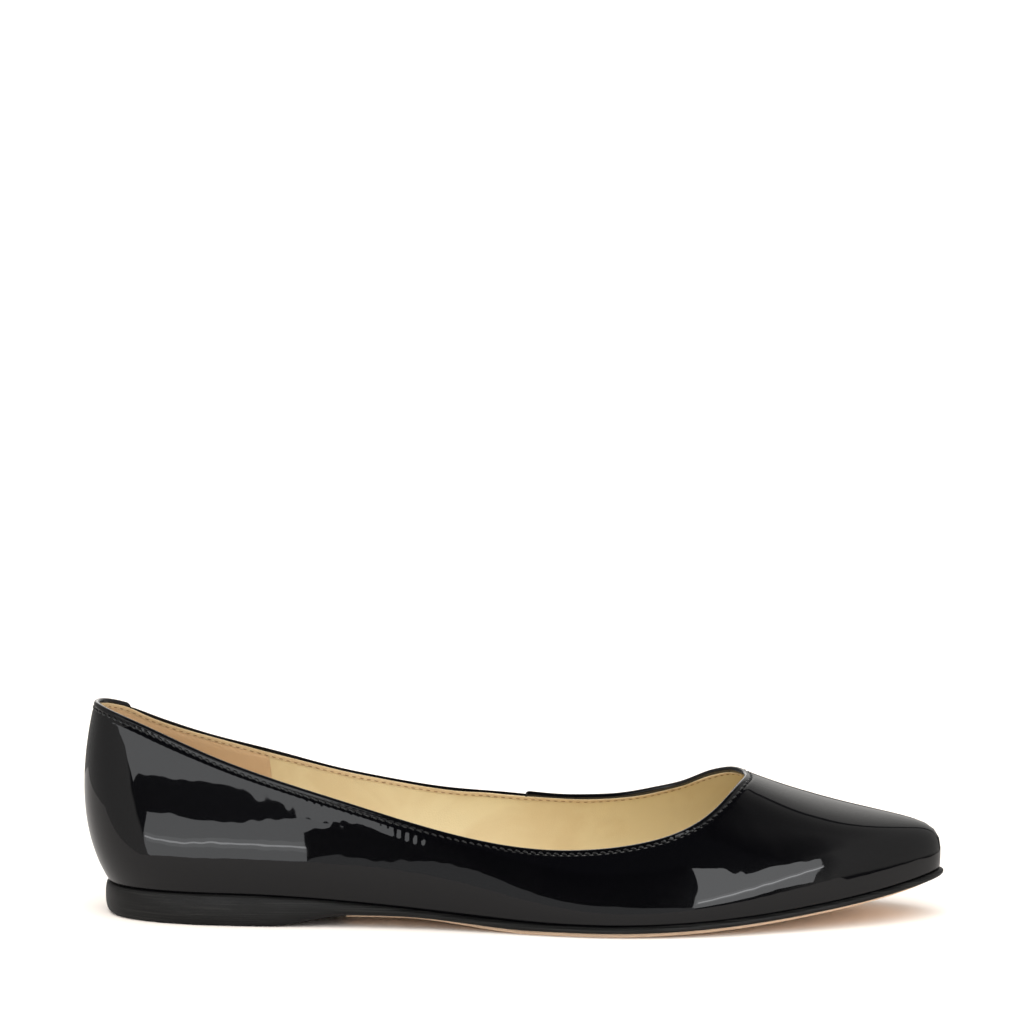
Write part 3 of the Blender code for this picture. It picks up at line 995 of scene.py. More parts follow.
@dataclass(frozen=True)
class Ripple:
    """Low undulations of leather drawn over a last, as a sum of sine waves in space."""

    seed: int = 7
    count: int = 14
    shortest: float = 13 * MM
    longest: float = 34 * MM
    height: float = 0.010 * MM
    fine_count: int = 10
    fine_length: float = 5.5 * MM
    fine_height: float = 0.0028 * MM
    strength: tuple[tuple[float, float], ...] = (  # by millimetres from the heel
        (0, 0.12), (25, 0.18), (55, 0.3), (66, 0.9), (110, 1), (150, 0.5), (190, 0.3), (262, 0.25))

    def waves(self, points: Array, lengths: Array, height: float,
              rng: np.random.Generator) -> Array:
        """Sum of sin(2 pi (direction . point) / length + phase), each times its height.

        Args:
            points: Points as (places, rows, 3).
            lengths: Length of each wave.
            height: Height of a wave of middling length; the others' follow their lengths.
            rng: Where the directions and phases are drawn from.

        Returns:
            Heights as (places, rows).
        """
        way = unit(rng.normal(size=(len(lengths), 3)) * (1.0, 0.6, 0.8))
        phase = rng.uniform(0, 2 * np.pi, len(lengths))
        turn = 2 * np.pi * points @ (way / lengths[:, None]).T + phase
        return (np.sin(turn) * height * lengths / lengths.mean()).sum(axis=-1)

    def heights(self, points: Array) -> Array:
        """Height of the undulation at each point, strongest beside the waist.

        Args:
            points: Points as (places, rows, 3).

        Returns:
            Heights as (places, rows).
        """
        rng = np.random.default_rng(self.seed)
        lengths = rng.uniform(self.shortest, self.longest, self.count)
        low = self.waves(points, lengths, self.height, rng)
        short = np.full(self.fine_count, self.fine_length) * rng.uniform(0.7, 1.5, self.fine_count)
        fine = self.waves(points, short, self.fine_height, rng)
        strength = np.interp(points[..., 0] / MM, *np.array(self.strength).T)
        return low * strength + fine


@dataclass(frozen=True)
class Cut:
    """One cut of patent leather: where it runs and how deep it lies."""

    name: str
    start: float
    end: float
    inset: float
    drop: float
    thickness: float


@dataclass
class Upper:
    """The patent upper: the vamp with its outer quarter, and the inner quarter set into it."""

    last: Last
    seam_step: float = 0.6 * MM
    seam_drop: float = 0.7 * MM
    underlap: float = 4.0 * MM
    top_step: float = 0.40 * MM
    foot_step: float = 0.95 * MM
    stitch_line: float = 2.70 * MM  # below the crest, over the leather
    valley: float = 0.30 * MM
    hole: float = 0.09 * MM
    pucker: float = 0.023 * MM
    bead: float = 0.05 * MM
    inside_return: float = 1.4 * MM
    corner: float = 1.6 * MM
    wander: float = 0.10 * MM
    tuck: float = 0.9 * MM  # height over which the foot is drawn in
    tuck_depth: float = 0.25 * MM
    gather_pitch: float = 1.7 * MM  # of the gathers at the toe's feather edge
    gather_height: float = 0.035 * MM
    ripple: Ripple = Ripple()
    stitches: StitchRow = StitchRow()
    seam_stitches: StitchRow = StitchRow(pitch=2.5 * MM, slant=0.0, radius=0.22 * MM)
    creases: tuple[tuple[float, float], ...] = (  # mm from the heel, and deep, on the outer side
        (97.2, 0.06), (99.7, 0.11), (102.1, 0.13), (104.6, 0.08))

    def cuts(self) -> tuple[Cut, Cut]:
        """The two cuts, the vamp's running from its inner heel seam round to its inner front.

        Returns:
            The vamp with the outer quarter, and the inner quarter.
        """
        front = self.last.place("inner_joint")
        back = self.last.place("inner_heel_seam")
        vamp = Cut("vamp_leather", back - self.last.around, front, 0.0, 0.0, 0.62 * MM)
        quarter = Cut("inner_quarter_leather", front - self.underlap, back + self.underlap,
                      self.seam_step, self.seam_drop, 0.55 * MM)
        return vamp, quarter

    def places(self, cut: Cut) -> Array:
        """Places round a cut, with extra ones close to its two ends for their rounding.

        Args:
            cut: The cut.

        Returns:
            Rising distances round the feather line.
        """
        even = self.last.even_places(cut.start, cut.end, self.top_step, self.foot_step)
        near = np.array([0.015, 0.07, 0.16, 0.3]) * MM
        inside = even[(even > cut.start + 2 * near[-1]) & (even < cut.end - 2 * near[-1])]
        ends = [cut.start, cut.end, *(cut.start + near), *(cut.end - near)]
        return np.sort(np.append(inside, ends))

    def rows(self, face: WallFace, cut: Cut) -> Array:
        """Distances over the skin from the crest, from the foot up and on down inside.

        Rows stand close together by the stitches and the foot, and evenly between them.

        Args:
            face: The wall at the cut's places.
            cut: The cut.

        Returns:
            Distances as (places, rows).
        """
        radius = (WALL - cut.inset) / 2
        quarter = math.pi / 2 * radius
        length = face.height - LIP - cut.drop + quarter
        foot = length - np.array([0, 0.25, 0.6, 1.0, 1.5, 2.2, 3.2]) * MM
        share = np.linspace(1, 0, 22)[1:-1]
        near = 7.0 * MM
        middle = near + (foot[:, -1:] - near) * share
        stitched = np.array([7.0, 6.3, 5.6, 5.0, 4.5, 4.1, 3.75, 3.45, 3.15, 2.9, 2.7, 2.5, 2.3,
                             2.05, 1.8, 1.6, 1.45]) * MM
        over = quarter * np.array([0.8, 0.55, 0.3, 0.0, -0.3, -0.6, -1.0])
        inside = [-quarter - self.inside_return * share for share in (0.4, 0.8, 1.0)]
        upper = np.concatenate([stitched[stitched > quarter], over, inside])
        return np.hstack([foot, middle, np.broadcast_to(upper, (len(foot), len(upper)))])

    def relief(self, over: Array, run: Array, points: Array) -> Array:
        """Height of the leather's relief: stitch valley, needle holes, puckers, bead, creases.

        The stitch phase is 2 pi times the run over the pitch, with holes where its cosine is -1.
        A crease is a narrow bell along the shoe with a ridge of half its height beside it.

        Args:
            over: Distance over the skin from the crest, as (places, rows).
            run: Distance along the stitch line at each place.
            points: The bare skin's points.

        Returns:
            Heights as (places, rows).
        """
        count = max(int(round(run[-1] / self.stitches.pitch)), 1)
        phase = 2 * np.pi * (run / run[-1] * count - 0.5)[:, None]
        hole = ((1 - np.cos(phase)) / 2) ** 5
        line = self.stitch_line
        x = points[..., 0] / MM
        y = points[..., 1]
        slack = 1 + 0.45 * np.sin(run[:, None] / (7.3 * MM)) * np.sin(run[:, None] / (3.1 * MM) + 1)
        gather = np.interp(x, (0, 20, 45, 52, 64, 74, 100, 125, 262),
                           (0.7, 1.0, 0.9, 0.35, 0.35, 0.9, 1.0, 0.45, 0.35)) * slack
        height = -self.valley * (1 + 0.22 * np.cos(phase)) * bell(over, line + 0.1 * MM, 0.68 * MM)
        height -= self.hole * hole * bell(over, line, 0.45 * MM)
        height += self.pucker * gather * np.cos(phase) * bell(over, line + 1.35 * MM, 0.8 * MM)
        height += self.bead * bell(over, 1.6 * MM, 0.5 * MM)
        window = smooth_step(over, 2.8 * MM, 3.6 * MM) * (1 - smooth_step(over, 4.3 * MM, 7.2 * MM))
        window = window * (y < -0.015)
        for crease, depth in self.creases:
            height -= depth * MM * window * bell(x, crease, 0.55)
            height += 0.5 * depth * MM * window * bell(x, crease + 1.2, 0.5)
        return height

    def sway(self, face: WallFace, cut: Cut, over: Array, points: Array) -> Array:
        """Drop of the crest: rounded off at the cut's ends, and wavering on the inner side.

        The rounding is corner * (1 - the root of 1 - (1 - end / corner) squared).

        Args:
            face: The wall at the cut's places.
            cut: The cut.
            over: Distance over the skin from the crest.
            points: The bare skin.

        Returns:
            The drop of each point.
        """
        end = np.minimum(face.at - cut.start, cut.end - face.at)
        share = 1 - np.clip(end / self.corner, 0, 1)
        drop = self.corner * (1 - np.sqrt(1 - share**2)) * (0 if cut.inset else 0.8)
        wander = np.sin(face.at / (5.3 * MM)) + np.sin(face.at / (8.9 * MM) + 1)
        inner_side = smooth_step(points[..., 1], 0.005, 0.015)
        near = bell(over, 0.0, 3.0 * MM)
        return near * (drop[:, None] + inner_side * self.wander * wander[:, None])

    def skin(self, cut: Cut) -> tuple[Skin, Array, Array]:
        """The surface of a cut, and the line with normals that its topline stitches follow.

        The outer face is the folded skin plus its relief along the normals, and the inner face
        lies one thickness under it; the ends are rounded by a quarter circle.

        Args:
            cut: The cut.

        Returns:
            Its closed surface, the stitch line and its normals.
        """
        face = WallFace(self.last, self.places(cut))
        over = self.rows(face, cut)
        points, facing = face.fold(over, cut.inset, cut.drop)
        points[..., 2] -= self.sway(face, cut, over, points)
        at_line = np.full((len(face.at), 1), self.stitch_line)
        line, line_normals = (grid[:, 0] for grid in face.fold(at_line, cut.inset, cut.drop))
        run = arc_length(line)
        outside = smooth_step(over, 0.0, 1.5 * MM)
        radius = (WALL - cut.inset) / 2
        from_foot = (face.height - LIP - cut.drop + math.pi / 2 * radius) - over
        calm = smooth_step(over, 2.0 * MM, 7.0 * MM) * smooth_step(from_foot, 0.0, 3.0 * MM)
        height = self.relief(over, run, points) * outside
        height += self.ripple.heights(points) * calm
        tucked = np.clip(1 - from_foot / self.tuck, 0, 1) ** 2
        height -= self.tuck_depth * tucked
        gathers = smooth_step(points[..., 0], 0.150, 0.200) * bell(from_foot, 0.9 * MM, 0.7 * MM)
        phase = 2 * np.pi * face.at[:, None] / self.gather_pitch
        height += self.gather_height * gathers * np.sin(phase)
        outer = points + height[..., None] * facing
        outer[..., 2] -= self.tuck_depth * tucked
        keep = np.r_[0, 4, 8 : over.shape[1] - 12 : 4, over.shape[1] - 10 : over.shape[1]]
        inner = (points - cut.thickness * facing)[:, keep]
        inner[..., 2] -= (self.tuck_depth * tucked)[:, keep]
        half = cut.thickness / 2
        end = np.minimum(face.at - cut.start, cut.end - face.at)
        bulge = np.sqrt(1 - (1 - np.clip(end / half, 0.04, 1)) ** 2)
        shrink = (half * (1 - bulge))[:, None, None]
        skin = band(outer - shrink * facing, inner + shrink * facing[:, keep], closed=False)
        sunk = line - self.valley * line_normals
        return skin, sunk, line_normals

    def seam_line(self, place: float, cut: Cut) -> tuple[Array, Array]:
        """A line of points down the wall at one place, between topline and foot.

        Args:
            place: Distance round the feather line.
            cut: The cut that it lies on.

        Returns:
            The points and their normals.
        """
        face = WallFace(self.last, np.array([place]))
        length = float(face.height[0, 0]) - LIP
        over = np.linspace(4.6 * MM, length - 1.5 * MM, 60)[None]
        points, facing = face.fold(over, cut.inset, cut.drop)
        return points[0], facing[0]

    def build(self) -> list[bpy.types.Object]:
        """Makes both cuts of leather and their stitches.

        Returns:
            The pieces made.
        """
        patent = PATENT.make()
        thread = BLACK_THREAD.make()
        made = []
        sewn = []
        cuts = self.cuts()
        for cut in cuts:
            skin, line, normals = self.skin(cut)
            piece = make_piece(cut.name, skin, patent)
            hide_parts("upper")
            made.append(piece)
            hidden = self.underlap + 0.5 * MM if cut.inset else 0.8 * MM
            run = arc_length(line)
            shown = (run > hidden) & (run < run[-1] - hidden)
            sewn.append(self.stitches.sew(line, normals) if not cut.inset
                        else self.stitches.sew(line[shown], normals[shown]))
        vamp = cuts[0]
        for place in (vamp.end - 1.7 * MM, vamp.start + 1.7 * MM):
            line, normals = self.seam_line(place, vamp)
            sewn.append(self.seam_stitches.sew(line, normals))
        names = ("vamp_topline_stitches", "quarter_topline_stitches", "front_seam_stitches",
                 "heel_seam_stitches")
        for name, skin in zip(names, sewn):
            made.append(make_piece(name, skin, thread))
        return made


# Inside the shoe


@dataclass
class Inside:
    """Lining, topline binding, suede heel grip and padded insole."""

    last: Last
    lining_top: float = 2.0 * MM
    lining_thickness: float = 0.5 * MM
    binding_top: float = 1.25 * MM
    binding_drop: float = 0.55 * MM  # how much lower the binding starts on the inner quarter
    binding_width: float = 1.45 * MM
    binding_thickness: float = 0.24 * MM
    grip_end: float = 58.0 * MM  # from the heel, on both sides
    grip_thickness: float = 0.35 * MM
    insole_thickness: float = 2.2 * MM
    crown: float = 0.5 * MM
    border: float = 4.2 * MM  # pressed line in from the insole's edge
    stitches: StitchRow = StitchRow(pitch=2.33 * MM, length=1.35 * MM, radius=0.16 * MM,
                                    arch=0.13 * MM, sink=0.10 * MM, slant=0.0, rings=5, sides=6)

    def lining(self) -> Skin:
        """The lining, offset inwards from the last's wall, with its top edge rounded over.

        Returns:
            The closed surface.
        """
        at = self.last.even_places(0, self.last.around, 0.9 * MM, 1.2 * MM)[:-1]
        face = WallFace(self.last, at)
        share = np.linspace(1, 0, 34) ** 1.3
        low = self.lining_top
        depth = low + (face.height - low) * share
        point, normal, _ = face.read(depth)
        x = point[..., 0]
        soft = 0.05 * MM * np.sin(x / (9 * MM) + 3 * share) * np.sin(x / (5.3 * MM) - 4 * share)
        rim = self.lining_thickness * 0.5 * (1 - smooth_step(depth - low, 0, 0.6 * MM))
        inner = point - (WALL + soft * (1 - share**4) - rim)[..., None] * normal
        inner[:, 0, 2] -= 0.2 * MM
        outer = (point - (WALL - self.lining_thickness) * normal)[:, ::6]
        outer[:, 0, 2] -= 0.2 * MM
        return band(outer, inner, closed=True)

    def binding_depth(self, at: Array) -> Array:
        """Depth of the binding's top edge, lower along the inner quarter, with two slow sines.

        Args:
            at: Distances round the feather line.

        Returns:
            The depth below the last's crest at each.
        """
        _, top = self.last.lines(at)
        inner_side = smooth_step(top[:, 1], 0.004, 0.010)
        along = smooth_step(top[:, 0], 0.010, 0.018) * (1 - smooth_step(top[:, 0], 0.112, 0.124))
        uneven = 0.10 * MM * np.sin(at / (11 * MM)) + 0.06 * MM * np.sin(at / (4.1 * MM))
        return self.binding_top + self.binding_drop * inner_side * along + uneven

    def binding(self) -> tuple[Skin, Array, Array]:
        """The thin tan strip inside the topline, its section a table of share and lift.

        Returns:
            The closed surface, the line of its lower edge's stitches and that line's normals.
        """
        at = self.last.even_places(0, self.last.around, 0.45 * MM, 5.0 * MM)[:-1]
        face = WallFace(self.last, at)
        start = self.binding_depth(at)[:, None]
        share = np.array([1.0, 0.985, 0.94, 0.84, 0.76, 0.68, 0.5, 0.25, 0.06, 0.015, 0.0])
        lift = np.array([0.1, 0.6, 0.95, 0.9, 0.72, 0.9, 1.0, 1.0, 0.95, 0.6, 0.1])
        point, normal, _ = face.read(start + self.binding_width * share)
        away = WALL + self.binding_thickness * lift[:, None]
        inner = point - away * normal
        outer = (point - (WALL - 0.15 * MM) * normal)[:, [0, 5, 10]]
        seam, seam_normal, _ = face.read(start + self.binding_width * 0.76)
        line = (seam - (WALL + self.binding_thickness * 0.8) * seam_normal)[:, 0]
        line = np.vstack([line, line[:1]])
        facing = -np.vstack([seam_normal[:, 0], seam_normal[:1, 0]])
        return band(outer, inner, closed=True), line, facing

    def grip(self) -> Skin:
        """The suede piece round the heel, with a slightly ragged front edge on each side.

        It stands off the wall by its thickness, eased to nothing at its borders.

        Returns:
            The closed surface.
        """
        fine = np.linspace(0, self.last.around / 3, 4000)
        foot, _ = self.last.lines(fine)
        reach = float(np.interp(self.grip_end, foot[:, 0], fine))
        foot, _ = self.last.lines(-fine)
        back = float(np.interp(self.grip_end, foot[:, 0], fine))
        at = self.last.even_places(-back, reach, 0.7 * MM, 0.7 * MM)
        face = WallFace(self.last, at)
        share = np.linspace(1, 0, 40)
        top = (self.binding_depth(at) + self.binding_width + 0.05 * MM)[:, None]
        depth = top + (face.height - top) * share
        point, normal, _ = face.read(depth)
        end = np.minimum(at + back, reach - at)[:, None]
        ragged = 0.25 * MM * np.sin(depth / (1.1 * MM)) + 0.5 * MM
        upper_end = smooth_step(depth - top, -0.2 * MM, 0.5 * MM)
        taper = smooth_step(end, 0.0, 1.0 * MM + ragged) * upper_end
        x = point[..., 0]
        nap = 0.04 * MM * np.sin(x / (3.7 * MM) + depth / (4.9 * MM))
        away = WALL + 0.02 * MM + self.grip_thickness * taper + nap * taper
        inner = point - away[..., None] * normal
        outer = (point - (WALL - 0.2 * MM) * normal)[:, ::13]
        return band(outer, inner, closed=False)

    def insole(self) -> Skin:
        """The padded insole: two crowned faces over rungs laid across the shoe.

        A point at share w across a rung lies between the edge points. Near the edge the face
        rises as a quarter circle; inside a pressed line it swells by the crown, and the heel is
        dished.

        Returns:
            The closed surface.
        """
        half = 320
        at = self.last.mirrored_places(half)
        handles = self.last.handles(at)
        lean = handles[1] - handles[0]
        lean = lean / lean[:, 2:]
        plan = self.last.outline(at, -(WALL + 0.3 * MM)) + lean[:, :2] * 0.5 * self.insole_thickness
        outer_side = plan[:half]
        inner_side = plan[half:][::-1]
        share = 0.5 - 0.5 * np.cos(np.linspace(0, np.pi, 64))
        xy = outer_side[:, None] + (inner_side - outer_side)[:, None] * share[:, None]
        width = np.linalg.norm(inner_side - outer_side, axis=1)[:, None]
        side = np.minimum(share, 1 - share) * width
        x = xy[..., 0]
        ends = np.minimum(x - x.min(), x.max() - x)
        edge = np.minimum(side, np.sqrt(ends * 9 * MM))
        rounding = 1.3 * MM
        curve = np.sqrt(1 - (1 - np.clip(edge / rounding, 0, 1)) ** 2)
        swell = smooth_step(edge, self.border, 16 * MM)
        dish = bell(x, 0.030, 0.022) * bell(xy[..., 1], 0.0, 0.016)
        base = self.last.sole_top(x) + self.last.gap
        thick = self.insole_thickness
        top = base + thick * (0.45 + 0.55 * curve) + self.crown * swell
        top -= 0.22 * MM * bell(edge, self.border, 0.5 * MM) + 0.7 * MM * dish
        upper = np.dstack([xy, top])
        lower = np.dstack([xy, base])
        lower[[0, -1]] = upper[[0, -1]]
        return pillow(upper, lower)

    def build(self) -> list[bpy.types.Object]:
        """Makes every piece inside the shoe.

        Returns:
            The pieces made.
        """
        lining = make_piece("lining_leather", self.lining(), LINING.make())
        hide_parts("upper")
        strip, line, facing = self.binding()
        binding = make_piece("topline_binding", strip, BINDING.make())
        sewn = self.stitches.sew(line, facing)
        stitches = make_piece("binding_stitches", sewn, BROWN_THREAD.make())
        grip = make_piece("heel_grip", self.grip(), GRIP.make())
        insole = make_piece("insole_pad", self.insole(), INSOLE.make())
        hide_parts("insole")
        return [lining, binding, stitches, grip, insole]


# Under the shoe


@dataclass
class Bottom:
    """The black sole unit with its low heel, and the thin tan tread."""

    last: Last
    half: int = 480
    edge_rows: int = 22
    edge: tuple[tuple[float, float], ...] = (
        (0.00, -0.80), (0.05, 0.00), (0.18, 0.65), (0.45, 1.00), (0.80, 0.95), (1.00, 0.62),
        (1.11, 0.25), (1.12, -0.30))
    lip: float = 2.6 * MM  # height of the lip against the wall, for each whole share above 1
    lip_top: float = 1.14
    hand: float = 0.03 * MM  # how far the trimming wanders inwards
    tread_back: float = 0.310
    tread_half: int = 260
    inset_ball: float = 2.2 * MM
    inset_waist: float = 6.2 * MM
    inset_toe: float = 5.0 * MM

    def sole(self) -> Skin:
        """The sole unit: its side profile carried round the shoe, closed by rungs across.

        The profile is a spline through (height share, stand-out share of the ledge). Shares above
        1 are the lip against the wall. The product of two slow sines, never outwards, keeps the
        trimmed edge from being perfect.

        Returns:
            The closed surface.
        """
        at = self.last.mirrored_places(self.half)
        knots = np.array(self.edge)
        chord = arc_length(knots * (1.0, 0.5))
        run = np.linspace(0, chord[-1], self.edge_rows)
        height, out = spline(chord, knots, run).T
        height = np.clip(height, 0, self.lip_top)
        out = np.minimum(out, 1)
        hand = self.hand / 2 * (np.sin(at / (8.7 * MM)) * np.sin(at / (3.9 * MM) + 2) - 1)
        rings = []
        for share, stand in zip(height, out):
            plan = self.last.outline(at, stand * LEDGE + hand * max(min(share, 1 - share), 0) * 3)
            low = self.last.sole_bottom(plan[:, 0])
            top = self.last.sole_top(plan[:, 0])
            lip = max(share - 1, 0) * self.lip
            rings.append(np.column_stack([plan, low + min(share, 1) * (top - low) + lip]))
        return self.slab(np.stack(rings))

    def slab(self, rings: Array) -> Skin:
        """Closes rings, lowest first, with rungs from the outer side to the inner at both faces.

        Args:
            rings: Points as (ring, place round the shoe, 3).

        Returns:
            The closed surface.
        """
        layers, count, _ = rings.shape
        index = np.arange(layers * count).reshape(layers, count)
        side = grid_quads(np.column_stack([index, index[:, 0]]))[:, ::-1]
        half = count // 2
        across = np.column_stack([np.arange(half), count - 1 - np.arange(half)])
        floor = grid_quads(across)
        roof = grid_quads(across + (layers - 1) * count)[:, ::-1]
        return Skin(rings.reshape(-1, 3), np.vstack([side, floor[:, ::-1], roof[:, ::-1]]),
                    np.zeros((0, 3), int))

    def tread(self) -> Skin:
        """The tread: a flat slab inside the sole's edge, straight across at its back.

        Its plan is the feather line drawn in by an inset eased between ball, waist and toe, and
        its edge is a half circle.

        Returns:
            The closed surface.
        """
        last = self.last
        toe = last.place("toe_tip")
        fine = np.linspace(0, last.around, 4001)
        x = last.outline(fine, 0)[:, 0]
        before = fine < toe
        start = np.interp(self.tread_back * last.length, x[before], fine[before])
        end = np.interp(-self.tread_back * last.length, -x[~before], fine[~before])
        share = (np.arange(self.tread_half) + 0.5) / self.tread_half
        eased = share - 0.45 * np.sin(2 * np.pi * share) / (2 * np.pi)
        outer = start + (toe - start) * eased
        inner = toe + (end - toe) * eased
        outer[0] = start
        inner[-1] = end
        at = np.append(outer, inner)
        along = last.outline(at, 0)[:, 0] / last.length
        waist = 1 - smooth_step(along, 0.370, 0.525)
        tip = smooth_step(along, 0.590, 1)
        inset = (self.inset_ball + waist * (self.inset_waist - self.inset_ball)
                 + tip * (self.inset_toe - self.inset_ball))
        turn = np.linspace(-np.pi / 2, np.pi / 2, 9)
        round_edge = 0.30 * MM
        rings = []
        for level, back in zip((np.sin(turn) + 1) / 2, round_edge * (1 - np.cos(turn) ** 0.7)):
            plan = last.outline(at, LEDGE - inset - back)
            high = last.sole_bottom(plan[:, 0]) - last.gap * 0.1
            low = last.sole_bottom(plan[:, 0]) - last.gap - last.tread_thickness
            rings.append(np.column_stack([plan, low + level * (high - low)]))
        return self.slab(np.stack(rings))

    def build(self) -> list[bpy.types.Object]:
        """Makes the sole unit and the tread.

        Returns:
            The pieces made.
        """
        sole = make_piece("sole_unit_dressed", self.sole(), SOLE.make())
        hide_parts("sole_unit")
        tread = make_piece("tread_dressed", self.tread(), TREAD.make())
        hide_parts("tread")
        return [sole, tread]


# The studio


@dataclass(frozen=True)
class Viewpoint:
    """The photograph's camera: where it looks from and where its target falls in the frame."""

    target: tuple[float, float, float] = (-0.0001342, 0.0022394, 0.030)
    azimuth: float = 2.0  # degrees from looking along +Y
    elevation: float = 10.0
    distance: float = 2.0
    target_pixel: tuple[float, float] = (513.0, 815.0)
    frame_pixels: float = 1024.0
    focal_pixels: float = 6557.4
    sensor: float = 36.0

    def make(self) -> bpy.types.Object:
        """Builds the camera.

        Its direction is the one to the target, turned by the target's offset in the frame over
        the focal length.

        Returns:
            The camera, made the scene's own.
        """
        azimuth, elevation = math.radians(self.azimuth), math.radians(self.elevation)
        level = math.cos(elevation)
        back = Vector((math.sin(azimuth) * level, -math.cos(azimuth) * level, math.sin(elevation)))
        forward = -back
        right = forward.cross(Vector((0, 0, 1))).normalized()
        up = right.cross(forward)
        middle = self.frame_pixels / 2
        off_x = (self.target_pixel[0] - middle) / self.focal_pixels
        off_y = (self.target_pixel[1] - middle) / self.focal_pixels
        forward = (forward - right * off_x + up * off_y).normalized()
        right = forward.cross(Vector((0, 0, 1))).normalized()
        up = right.cross(forward)
        data = bpy.data.cameras.new("studio_camera")
        data.sensor_width = self.sensor
        data.lens = self.focal_pixels * self.sensor / self.frame_pixels
        data.clip_end = 50
        camera = bpy.data.objects.new("studio_camera", data)
        turn = Matrix((right, up, -forward)).transposed().to_4x4()
        camera.matrix_world = Matrix.Translation(Vector(self.target) + back * self.distance) @ turn
        bpy.context.scene.collection.objects.link(camera)
        bpy.context.scene.camera = camera
        return camera


@dataclass(frozen=True)
class FlatCard:
    """A card on an upright plane in front of the shoe, by its corners in millimetres."""

    name: str
    corners: tuple[tuple[float, float], ...]  # along the shoe from the heel, and height
    radiance: float  # none for a flag that keeps a card's light off
    plane: float = 0.64  # metres in front of the heel point


@dataclass(frozen=True)
class DomeCard:
    """A lit patch of a sphere round the shoe, with soft borders, in degrees."""

    name: str
    azimuth: tuple[float, float]
    elevation: tuple[float, float]
    radiance: float
    soft: float = 8.0
    soft_top: float = 8.0
    fade: float = 1.0  # share of the radiance at the first azimuth
    soft_start: float = 1.5  # border at the first azimuth
    widen: float = 0.0  # what that border gains for each degree of elevation from 38 to 63
    radius: float = 1.6


